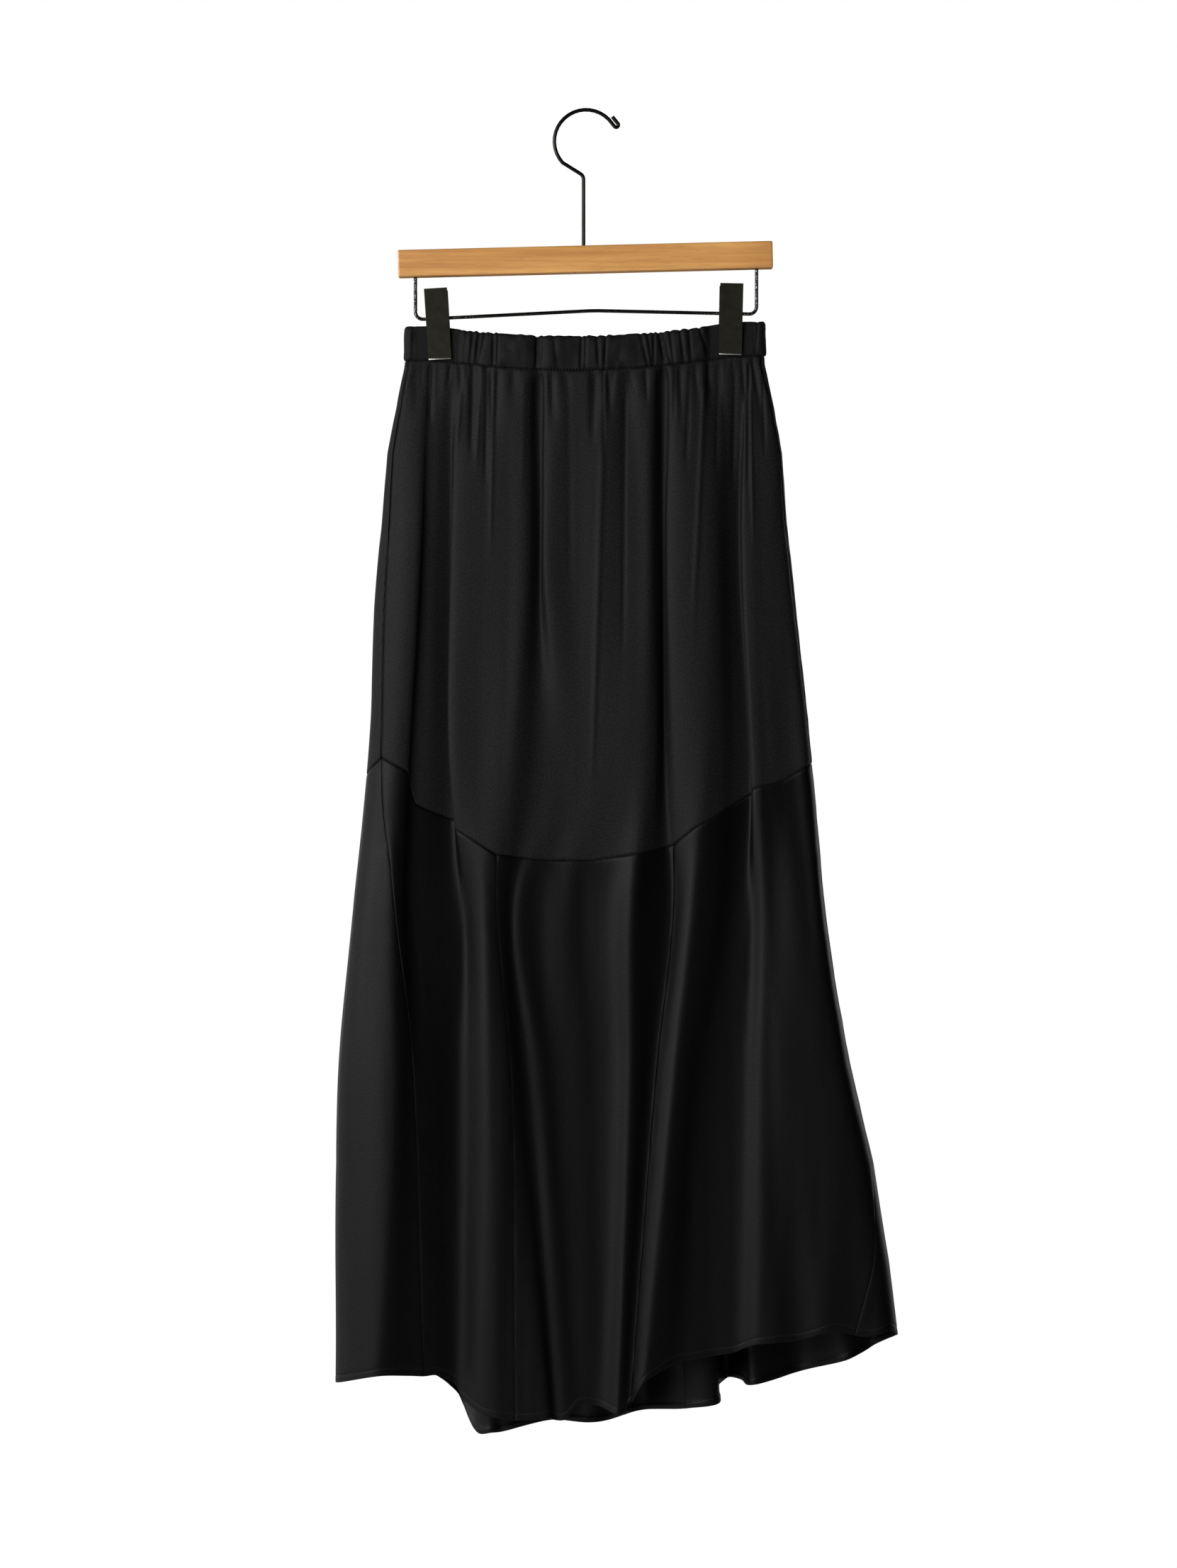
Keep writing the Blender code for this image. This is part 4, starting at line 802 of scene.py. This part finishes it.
def satin(name, look, bandSeam=False, hem=False, edgeStitch=False):
    made = Finish(name, {"Specular IOR Level": look["specular"]})
    uv = made.add("ShaderNodeUVMap", {"uv_map": "cloth"})
    u, v = (made.add("ShaderNodeSeparateXYZ", {}, [uv], output=axis) for axis in "XY")
    across, along, flat = look["threadSize"]
    grains = made.noise(uv, look["grainSize"], 1.0)
    grain = made.add("ShaderNodeMapRange", {}, {"Value": grains, "From Min": 0.30, "From Max": 0.70})
    threads = made.noise(uv, (across, along, flat), 1.0)
    picks = made.noise(uv, (along, across, flat), 1.0)
    cloud = made.noise(uv, look["cloudSize"], 3.0)
    crumple = made.noise(uv, look["crumpleSize"], 3.0, 0.6)
    height = (threads + grains) * look["threadDepth"] + picks * look["pickDepth"] + crumple * look["crumple"]
    grainShare = look["grainShare"]
    shade = made.mix(cloud * (1 - grainShare) + grain * grainShare, look["dark"], look["light"])
    seamHalf, seamShade = look["seam"]
    fromSeam = fact(made, "fromSeam")
    shade = made.mix(fromSeam.near(0.0, seamHalf) * seamShade, shade, look["seamColour"])
    if hem:
        height, shade = stitched(made, look, hemRow, fact(made, "fromHem"), u, height, shade)
    if bandSeam:
        length, half = look["stitch"]
        row, dash = fromSeam.near(bandRow["place"], bandRow["half"]), (u / length).part().near(0.5, half)
        height = height - row * dash * bandRow["sink"]
        # The whole sunk row takes a painted shadow, and its stitches take the dark thread colour
        shade = made.mix(row * (bandRow["between"] + dash * bandRow["show"]), shade, bandThreadAndShadowColour)
    if edgeStitch:
        height, shade = stitched(made, look, pocketRow, fact(made, "fromPocket"), v, height, shade)
    threadsVary, cloudVaries = look["roughnessVaries"]
    made.feed({
        "Base Color": shade,
        "Roughness": look["roughness"] + (threads - 0.5) * threadsVary + (cloud - 0.5) * cloudVaries,
        "Normal": made.bump(height),
    })
    return made.material


hipSatin = satin("black_satin_hip", upperSatin, bandSeam=True, edgeStitch=True)
goreSatin = satin("black_satin_gores", lowerSatin, hem=True)
casingSatin = satin("black_satin_waistband", bandSatin, bandSeam=True)
pocketSatin = satin("black_satin_pocket", insideSatin)

farAway = 1.0         # a distance past any seam's reach


def buildPanel(name, firstSeam, lastSeam, isHip, finish):
    surface = gatheredCloth if isHip else smoothCloth
    gape = (lambda z: cloth["pocketGape"] / 2 * pocketShare(z)) if isHip else None
    outer, normals, lift, uv, fromLeft, fromRight, fromTop, fromBottom = panelPoints(
        (firstSeam, lastSeam),
        waistOf if isHip else yokeHeight,
        yokeHeight if isHip else hemOf,
        surface,
        seamSteps if isHip else hemSteps,
        yokeLevel if isHip else hemLevel,
        wrinkles["hipShare"] if isHip else 1.0,
        cloth["hipPitch" if isHip else "gorePitch"]["back" in name],
        gape,
    )
    z = outer[:, :, 2]
    shut = 1 - pocketShare(z) if isHip else np.ones_like(z)
    along = shut if isHip else wrinkles["goreDip"] * shut
    lift = lift + seamShape(fromLeft, z, 11, along) + seamShape(fromRight, z, 12, along)
    lift = lift + seamShape(fromTop, uv[:, :, 0], 13)
    inward = np.full(z.shape, cloth["thickness"])
    if isHip:
        lift = lift + seamShape(fromBottom, uv[:, :, 0], 14)
    else:
        turned = wrinkles["hemTurn"]
        half, depth = wrinkles["hemGroove"]
        lift = lift - depth * np.exp(-(((fromBottom - turned) / half) ** 2))
        across, down, height, reach = wrinkles["hemFlutter"]
        lift = lift + height * flatNoise(uv[:, :, 0] / across, z / down, 21) * np.exp(-fromBottom / reach)
        extra, start = wrinkles["hemDouble"]
        inward = inward + extra * ease((turned - fromBottom) / start)
    outer = outer + normals * lift[:, :, None]
    normals = gridNormals(outer)
    inner = outer - normals * inward[:, :, None]
    fromSeam = np.minimum(np.minimum(fromLeft, fromRight) + farAway * (1 - shut), fromTop)
    if isHip:
        fromSeam = np.minimum(fromSeam, fromBottom)
    facts = {"fromSeam": fromSeam}
    if isHip:
        atPocket = pocketShare(z) > 0.1
        facts["fromPocket"] = np.where(atPocket, fromLeft if name.endswith("front") else fromRight, farAway)
    else:
        facts["fromHem"] = fromBottom
    return clothMesh(name + "_cloth", outer, inner, uv, facts, finish)


sheets = []
hipSeams = (
    ("hip_panel_front", leftSeam[2], rightSeam[2]),
    ("hip_panel_back", rightSeam[2], leftSeam[2] + lineCount),
)
for name, first, last in hipSeams:
    piece = buildPanel(name, first, last, True, hipSatin)
    sheets.append((piece, name))
    print("hip panel:", name, len(piece.data.polygons), "faces")

goreSeams = (
    ("gore_front_left", leftSeam[2], frontSeams[0]),
    ("gore_front_middle", frontSeams[0], frontSeams[1]),
    ("gore_front_right", frontSeams[1], rightSeam[2]),
    ("gore_back_right", rightSeam[2], backSeams[0]),
    ("gore_back_middle", backSeams[0], backSeams[1]),
    ("gore_back_left", backSeams[1], leftSeam[2] + lineCount),
)
for name, first, last in goreSeams:
    piece = buildPanel(name, first, last, False, goreSatin)
    sheets.append((piece, name))
    print("gore:", name, len(piece.data.polygons), "faces")


# The elastic casing
waistband = {
    "puff": 0.0011,
    "inward": 0.0016,
    "pitch": 0.0008,
    "backCreases": 26,
    "backCrease": (0.0015, 0.0010),     # width and depth
    "backVaries": (0.003, 0.0003),      # lean and depth
    "deeper": 1.5,
    "deepest": 0.0022,
    "swell": (0.008, 3, 0.0007),        # size across, changes from top to seam, height
    "pucker": (0.0042, 2, 0.0006),
    "topDip": (1.4, 0.6),               # how far the top edge follows the puckers and the creases
    # Share of the height, down from the top, and share of the puff
    "profile": (
        (0.0, -1.1), (0.03, -0.2), (0.08, 0.5), (0.2, 0.9), (0.5, 1.0), (0.8, 0.9), (0.93, 0.5),
        (0.98, -0.1), (1.0, -0.5),
    ),
}
# Its creases in front, in millimetres: across at the top, across at the seam, width, depth
bandCreases = (
    (-145, -146.5, 1.6, 0.8), (-139.5, -141, 1.5, 0.9), (-136, -137, 1.3, 1.2), (-106, -112, 1.8, 1.3),
    (-101, -103, 1.6, 0.9), (-95, -98, 1.4, 0.9), (-90, -93, 1.6, 1.3), (-85, -91, 1.4, 1.1),
    (-78, -78.5, 1.2, 1.0), (-74, -75, 1.0, 0.5), (-41, -42.5, 1.5, 1.4), (-37, -38, 1.2, 0.7),
    (-27, -24.5, 1.8, 0.5), (-3.5, -4.5, 1.2, 0.9), (0, -0.5, 1.0, 0.6), (9.5, 11, 1.5, 1.2),
    (17, 15.5, 1.2, 1.0), (46, 52.5, 1.5, 0.8), (52, 56, 1.3, 0.8), (57, 57.5, 1.2, 1.2),
    (61.5, 67, 1.5, 1.1), (65, 71.5, 1.4, 0.9), (71, 74, 1.4, 0.8), (79.5, 83, 1.5, 1.1),
    (87, 89, 1.4, 0.8), (95.5, 105, 1.6, 1.1), (104, 108.5, 1.4, 0.9), (135, 134, 1.3, 1.2),
    (138, 138, 1.1, 0.8), (141, 142.5, 1.2, 1.0), (145, 143.5, 1.1, 0.7),
)


def buildWaistband():
    total = waistArc[1][-1]
    arc = np.linspace(0, total, round(total / waistband["pitch"]), endpoint=False)
    numbers = np.interp(arc, waistArc[1], waistArc[0])
    seam = waistHeight(numbers)
    base = smoothCloth(numbers, seam)
    out = facing(smoothCloth, numbers, seam)
    out[:, 2] = 0.0
    out /= np.linalg.norm(out, axis=1)[:, None]
    front = waistArc[0] <= rightSide
    waistX = smoothCloth(waistArc[0], np.full(len(waistArc[0]), waistLevel))[:, 0]
    creases = []
    for top, bottom, width, depth in np.array(bandCreases) / 1000:
        creases.append([*np.interp((top, bottom), waistX[front], waistArc[1][front]), width, depth])
    backStart = np.interp(rightSide, *waistArc)
    (width, depth), (lean, deeper) = waistband["backCrease"], waistband["backVaries"]
    count = waistband["backCreases"]
    for k in range(count):
        place = backStart + (total - backStart) * (k + 0.5 + 0.3 * math.sin(2.1 * k)) / count
        creases.append([place, place + lean * math.sin(1.9 * k), width, depth + deeper * math.cos(3 * k)])
    creases = np.array(creases)
    free = 1 - clipShare(base[:, 0])
    shares = np.array([place for place, _ in waistband["profile"]])
    shares = np.unique(np.concatenate([shares, np.linspace(0, 1, 15)]))
    puffs = np.interp(shares, *np.array(waistband["profile"]).T)
    outer = np.zeros((len(shares), len(arc), 3))
    for row, (share, puff) in enumerate(zip(shares, puffs)):
        away = arc[None, :] - (creases[:, 0] + (creases[:, 1] - creases[:, 0]) * share)[:, None]
        away = away - total * np.round(away / total)
        pressed = (creases[:, 3:] * np.exp(-((away / creases[:, 2:3]) ** 2))).sum(axis=0)
        pressed = np.minimum(waistband["deeper"] * pressed, waistband["deepest"])
        size, changes, height = waistband["swell"]
        swell = height * flatNoise(arc / size, arc * 0 + share * changes, 31)
        # Puckers are strongest at the seam, and half as strong at the top
        size, changes, height = waistband["pucker"]
        pucker = height * flatNoise(arc / size, arc * 0 + share * changes, 33)
        pucker *= share**3 + 0.5 * (1 - share) ** 3
        inCrease = pressed * (0.55 + 0.45 * np.sin(np.pi * min(1, share * 1.1)))
        push = waistband["puff"] * puff - inCrease + swell + pucker
        outer[row] = base + out * (push * free + waistband["puff"] * min(puff, 0) * (1 - free))[:, None]
        outer[row, :, 2] = seam + cloth["bandHeight"] * (1 - share)
        # The top edge dips a little at each crease
        byPucker, byCrease = waistband["topDip"]
        outer[row, :, 2] += (pucker * byPucker - pressed * byCrease) * free * (1 - share) ** 3
    inner = np.array([base - out * waistband["inward"]] * len(shares))
    inner[:, :, 2] = outer[:, :, 2]
    uv = np.zeros((len(shares), len(arc), 2))
    uv[:, :, 0] = arc[None, :]
    uv[:, :, 1] = -shares[:, None] * cloth["bandHeight"]
    fromSeam = np.repeat((1 - shares)[:, None] * cloth["bandHeight"], len(arc), axis=1)
    return clothMesh("waistband_cloth", outer, inner, uv, {"fromSeam": fromSeam}, casingSatin, ring=True)


band = buildWaistband()
sheets.append((band, "waistband"))
print("waistband:", len(band.data.polygons), "faces")

# The strip of pocket bag behind each slit. Behind and ahead are lines past the side seam.
pocketLook = {
    "behind": 0.9,
    "ahead": 1.5,
    "top": -0.2345,
    "bottom": -0.3800,
    "thickness": 0.0006,
    "under": 0.0012,
    "columns": 20,
    "rows": 50,
}


def buildPocket(name, seam, forward):
    first, last = sorted((seam[2] - forward * pocketLook["behind"], seam[2] + forward * pocketLook["ahead"]))
    numbers = np.linspace(first, last, pocketLook["columns"])
    rows = np.linspace(pocketLook["top"], pocketLook["bottom"], pocketLook["rows"])
    outer = np.zeros((len(rows), len(numbers), 3))
    for k, z in enumerate(rows):
        level = np.full(len(numbers), z)
        outer[k] = gatheredCloth(wander(numbers, level), level)
    outer -= gridNormals(outer) * pocketLook["under"]
    inner = outer - gridNormals(outer) * pocketLook["thickness"]
    uv = np.stack([outer[:, :, 1], outer[:, :, 2]], axis=2)
    facts = {"fromSeam": np.full(outer.shape[:2], farAway)}
    return clothMesh(name + "_cloth", outer, inner, uv, facts, pocketSatin)


for name, seam, forward in (("pocket_left", leftSeam, 1), ("pocket_right", rightSeam, -1)):
    sheets.append((buildPocket(name, seam, forward), name))
print("pockets made")

for piece, node in sheets:
    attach(piece, "root")
    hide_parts(node)

# Whether each cut is gathered or hung; the loop only works this out and keeps nothing. The hip panels narrow
# to the waist, the gores to the yoke seam.
for piece, node in sheets:
    "gathered" if node in ("waistband", "hip_panel_front", "hip_panel_back") else "hung"
print("sheets declared:", len(sheets))

# Hanger finishes
woodLook = {
    "light": (0.88, 0.450, 0.135),
    "dark": (0.60, 0.260, 0.066),
    "endColour": (0.34, 0.130, 0.030),
    "endFrom": (0.120, 0.158),        # across, where the right end darkens
    "endShare": 0.35,
    "grain": (9, 260, 260),
    "bands": (5, 70, 70),
    "pores": (60, 1400, 1400),
    "poreLeast": 0.62,
    "roughness": 0.42,
}
wireLook = {
    "colour": (0.016, 0.015, 0.013),
    "speck": (0.55, 0.55, 0.53),
    "blotches": (90, 90, 90),
    "dots": (900, 900, 900),
    "wearReach": 0.034,               # on each side of a clip
    "roughness": 0.36,
}
enamelLook = {
    "colour": (0.014, 0.0132, 0.0082),
    "worn": (0.036, 0.033, 0.022),
    "clouds": (160, 160, 160),
    "specks": (2600, 2600, 2600),
    "speckLeast": 0.62,
    "roughness": 0.44,
}
lipLook = {
    "colour": (0.72, 0.71, 0.68),
    "dull": (0.45, 0.44, 0.42),
    "brushed": (3000, 300, 300),
    "roughness": 0.32,
}


def beechWood():
    made = Finish("beech_bar", {"Coat Weight": 0.25, "Coat Roughness": 0.25})
    place = made.add("ShaderNodeTexCoord", output="Object")
    grain = made.noise(place, woodLook["grain"], 4.0, 0.6)
    pores = made.noise(place, woodLook["pores"], 2.0, 0.5) > woodLook["poreLeast"]
    bands = made.noise(place, woodLook["bands"], 1.0)
    x = made.add("ShaderNodeSeparateXYZ", {}, [place], output="X")
    endStart, endFull = woodLook["endFrom"]
    rightEnd = made.add("ShaderNodeMapRange", {}, {"Value": x, "From Min": endStart, "From Max": endFull})
    figure = grain * 0.6 + bands * 0.4
    tone = made.add("ShaderNodeMapRange", {}, {"Value": figure, "From Min": 0.35, "From Max": 0.65})
    colour = made.mix(tone, woodLook["light"], woodLook["dark"])
    colour = made.mix(pores * 0.35, colour, woodLook["dark"])
    colour = made.mix(rightEnd * woodLook["endShare"], colour, woodLook["endColour"])
    made.feed({
        "Base Color": colour,
        "Roughness": woodLook["roughness"] + (grain - 0.5) * 0.2,
        "Normal": made.bump(grain * 0.05 - pores * 0.04),
    })
    return made.material


def darkWire(name, specks, clipWear=False):
    made = Finish(name, {"Metallic": 1.0})
    place = made.add("ShaderNodeTexCoord", output="Object")
    blotch = made.noise(place, wireLook["blotches"], 3.0)
    dots = made.noise(place, wireLook["dots"], 2.0)
    worn = (dots > specks) * 0.85
    if clipWear:
        # The wear lies where the clips slide
        x = made.add("ShaderNodeSeparateXYZ", {}, [place], output="X")
        left, right = (x.near(clipX, wireLook["wearReach"]) for clipX in cloth["clipX"])
        worn = worn * (left + right + 0.06)
    made.feed({
        "Base Color": made.mix(worn, wireLook["colour"], wireLook["speck"]),
        "Roughness": wireLook["roughness"] + (blotch - 0.5) * 0.2 + worn * 0.2,
        "Normal": made.bump(dots * 0.02),
    })
    return made.material


def clipEnamel():
    made = Finish("clip_enamel", {"Metallic": 0.55, "Specular IOR Level": 0.25})
    place = made.add("ShaderNodeTexCoord", output="Object")
    cloud = made.noise(place, enamelLook["clouds"], 3.0, 0.6)
    speck = made.noise(place, enamelLook["specks"], 2.0)
    worn = cloud * 0.6 + (speck > enamelLook["speckLeast"]) * 0.5
    made.feed({
        "Base Color": made.mix(worn, enamelLook["colour"], enamelLook["worn"]),
        "Roughness": enamelLook["roughness"] + (cloud - 0.5) * 0.2,
        "Normal": made.bump(speck * 0.02),
    })
    return made.material


def bareSteel():
    made = Finish("bare_steel_lip", {"Metallic": 1.0})
    place = made.add("ShaderNodeTexCoord", output="Object")
    brushed = made.noise(place, lipLook["brushed"], 2.0)
    made.feed({
        "Base Color": made.mix(brushed, lipLook["colour"], lipLook["dull"]),
        "Roughness": lipLook["roughness"] + (brushed - 0.5) * 0.2,
    })
    return made.material


woodFinish = beechWood()
hookFinish = darkWire("gunmetal_hook", 0.80)
railFinish = darkWire("gunmetal_rail", 0.58, True)
springFinish = darkWire("gunmetal_spring", 0.80)
enamelFinish = clipEnamel()
lipFinish = bareSteel()

for node, finish in (
    ("hanger_bar", woodFinish),
    ("hook", hookFinish),
    ("clip_rail", railFinish),
    ("clip_left_front", enamelFinish),
    ("clip_left_back", enamelFinish),
    ("clip_left_spring", springFinish),
    ("clip_right_front", enamelFinish),
    ("clip_right_back", enamelFinish),
    ("clip_right_spring", springFinish),
):
    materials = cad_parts[node].data.materials
    materials.clear()
    materials.append(finish)
print("hanger finished")

# The rolled bare lip at each jaw, and below it each lip's middle, across and up, with its lean in degrees
clipLip = {
    "width": 0.0190,
    "radius": 0.0007,
    "strip": 0.0009,
    "stripBack": 0.0001,
    "forward": -0.0066,
    "bevel": 0.0003,
    "facets": 20,
}
clipLips = (("left", -0.12345, -0.2100, -3.5), ("right", 0.12185, -0.2060, 1.2))


def buildLip(side, x, z, lean):
    bpy.ops.object.select_all(action="DESELECT")
    bpy.ops.mesh.primitive_cylinder_add(
        vertices=clipLip["facets"],
        radius=clipLip["radius"],
        depth=clipLip["width"],
        rotation=(0, math.radians(90), 0),
    )
    roll = bpy.context.object
    bpy.ops.object.transform_apply(location=False, rotation=True, scale=True)
    bpy.ops.mesh.primitive_cube_add(size=1, location=(0, clipLip["stripBack"], clipLip["strip"] / 2))
    strip = bpy.context.object
    strip.scale = (clipLip["width"], clipLip["radius"], clipLip["strip"])
    bpy.ops.object.transform_apply(location=True, rotation=False, scale=True)
    roll.select_set(True)
    bpy.context.view_layer.objects.active = roll
    bpy.ops.object.join()
    soft = roll.modifiers.new("softEdges", "BEVEL")
    soft.width = clipLip["bevel"]
    soft.segments = 2
    bpy.ops.object.modifier_apply(modifier=soft.name)
    bpy.ops.object.shade_smooth_by_angle(angle=math.radians(40))
    roll.location = (x, clipLip["forward"], z)
    roll.rotation_euler = (0, math.radians(lean), 0)
    bpy.ops.object.transform_apply(location=True, rotation=True, scale=True)
    roll.name = "clip_" + side + "_lip"
    roll.data.materials.append(lipFinish)
    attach(roll, "root")


for side, x, z, lean in clipLips:
    buildLip(side, x, z, lean)
print("clip lips made")

# Stage
studio = {
    "floorZ": -1.90,
    "floorSize": (6, 6),
    "floorColour": (0.82, 0.82, 0.81),
    "room": 0.030,                    # strength of the pale room where the camera doesn't see it
    "aim": (0, 0, -0.6),
    # name, place, width and height, power
    "lamps": (
        ("key", (-2.5, -3.1, 0.5), (2.4, 2.0), 142.0),
        ("side", (-3.4, -0.4, -0.2), (1.2, 2.4), 42.0),
        ("left rim", (-2.8, 2.0, -0.2), (1.0, 2.4), 30.0),
        ("right rim", (2.8, 2.0, -0.2), (1.0, 2.4), 30.0),
    ),
}


def buildFloor():
    bpy.ops.object.select_all(action="DESELECT")
    bpy.ops.mesh.primitive_plane_add(size=1, location=(0, 0, studio["floorZ"]))
    floor = bpy.context.object
    floor.name = "floor"
    floor.scale = (*studio["floorSize"], 1)
    bpy.ops.object.transform_apply(location=True, rotation=True, scale=True)
    floor.data.materials.append(Finish("floor_paint", {
        "Base Color": (*studio["floorColour"], 1),
        "Roughness": 0.8,
    }).material)


buildFloor()

world = bpy.data.worlds.new("pale room")
bpy.context.scene.world = world
world.use_nodes = True
nodes, links = world.node_tree.nodes, world.node_tree.links
background = nodes["Background"]
background.inputs["Color"].default_value = (1, 1, 1, 1)
rays = nodes.new("ShaderNodeLightPath")
strength = nodes.new("ShaderNodeMapRange")
strength.inputs["To Min"].default_value = studio["room"]
strength.inputs["To Max"].default_value = 1.0
links.new(rays.outputs["Is Camera Ray"], strength.inputs["Value"])
links.new(strength.outputs["Result"], background.inputs["Strength"])


def lamp(name, place, size, power):
    data = bpy.data.lights.new(name, "AREA")
    data.shape = "RECTANGLE"
    data.size, data.size_y = size
    data.energy = power
    item = bpy.data.objects.new(name, data)
    bpy.context.scene.collection.objects.link(item)
    item.location = place
    item.rotation_euler = (Vector(studio["aim"]) - Vector(place)).to_track_quat("-Z", "Y").to_euler()


for name, place, size, power in studio["lamps"]:
    lamp(name, place, size, power)

# The photograph's view: the whole frame is 1.327 m high at the hanger
lens = {"place": (0.0021, -3.0, -0.569), "frameHeight": 1.327, "sensor": 36.0}
cameraData = bpy.data.cameras.new("camera")
cameraData.sensor_width = lens["sensor"]
cameraData.lens = lens["sensor"] * -lens["place"][1] / lens["frameHeight"]
camera = bpy.data.objects.new("camera", cameraData)
bpy.context.scene.collection.objects.link(camera)
camera.location = lens["place"]
camera.rotation_euler = (math.radians(90), 0, 0)
bpy.context.scene.camera = camera
bpy.context.scene.view_settings.view_transform = "Standard"
print("camera and lights set")
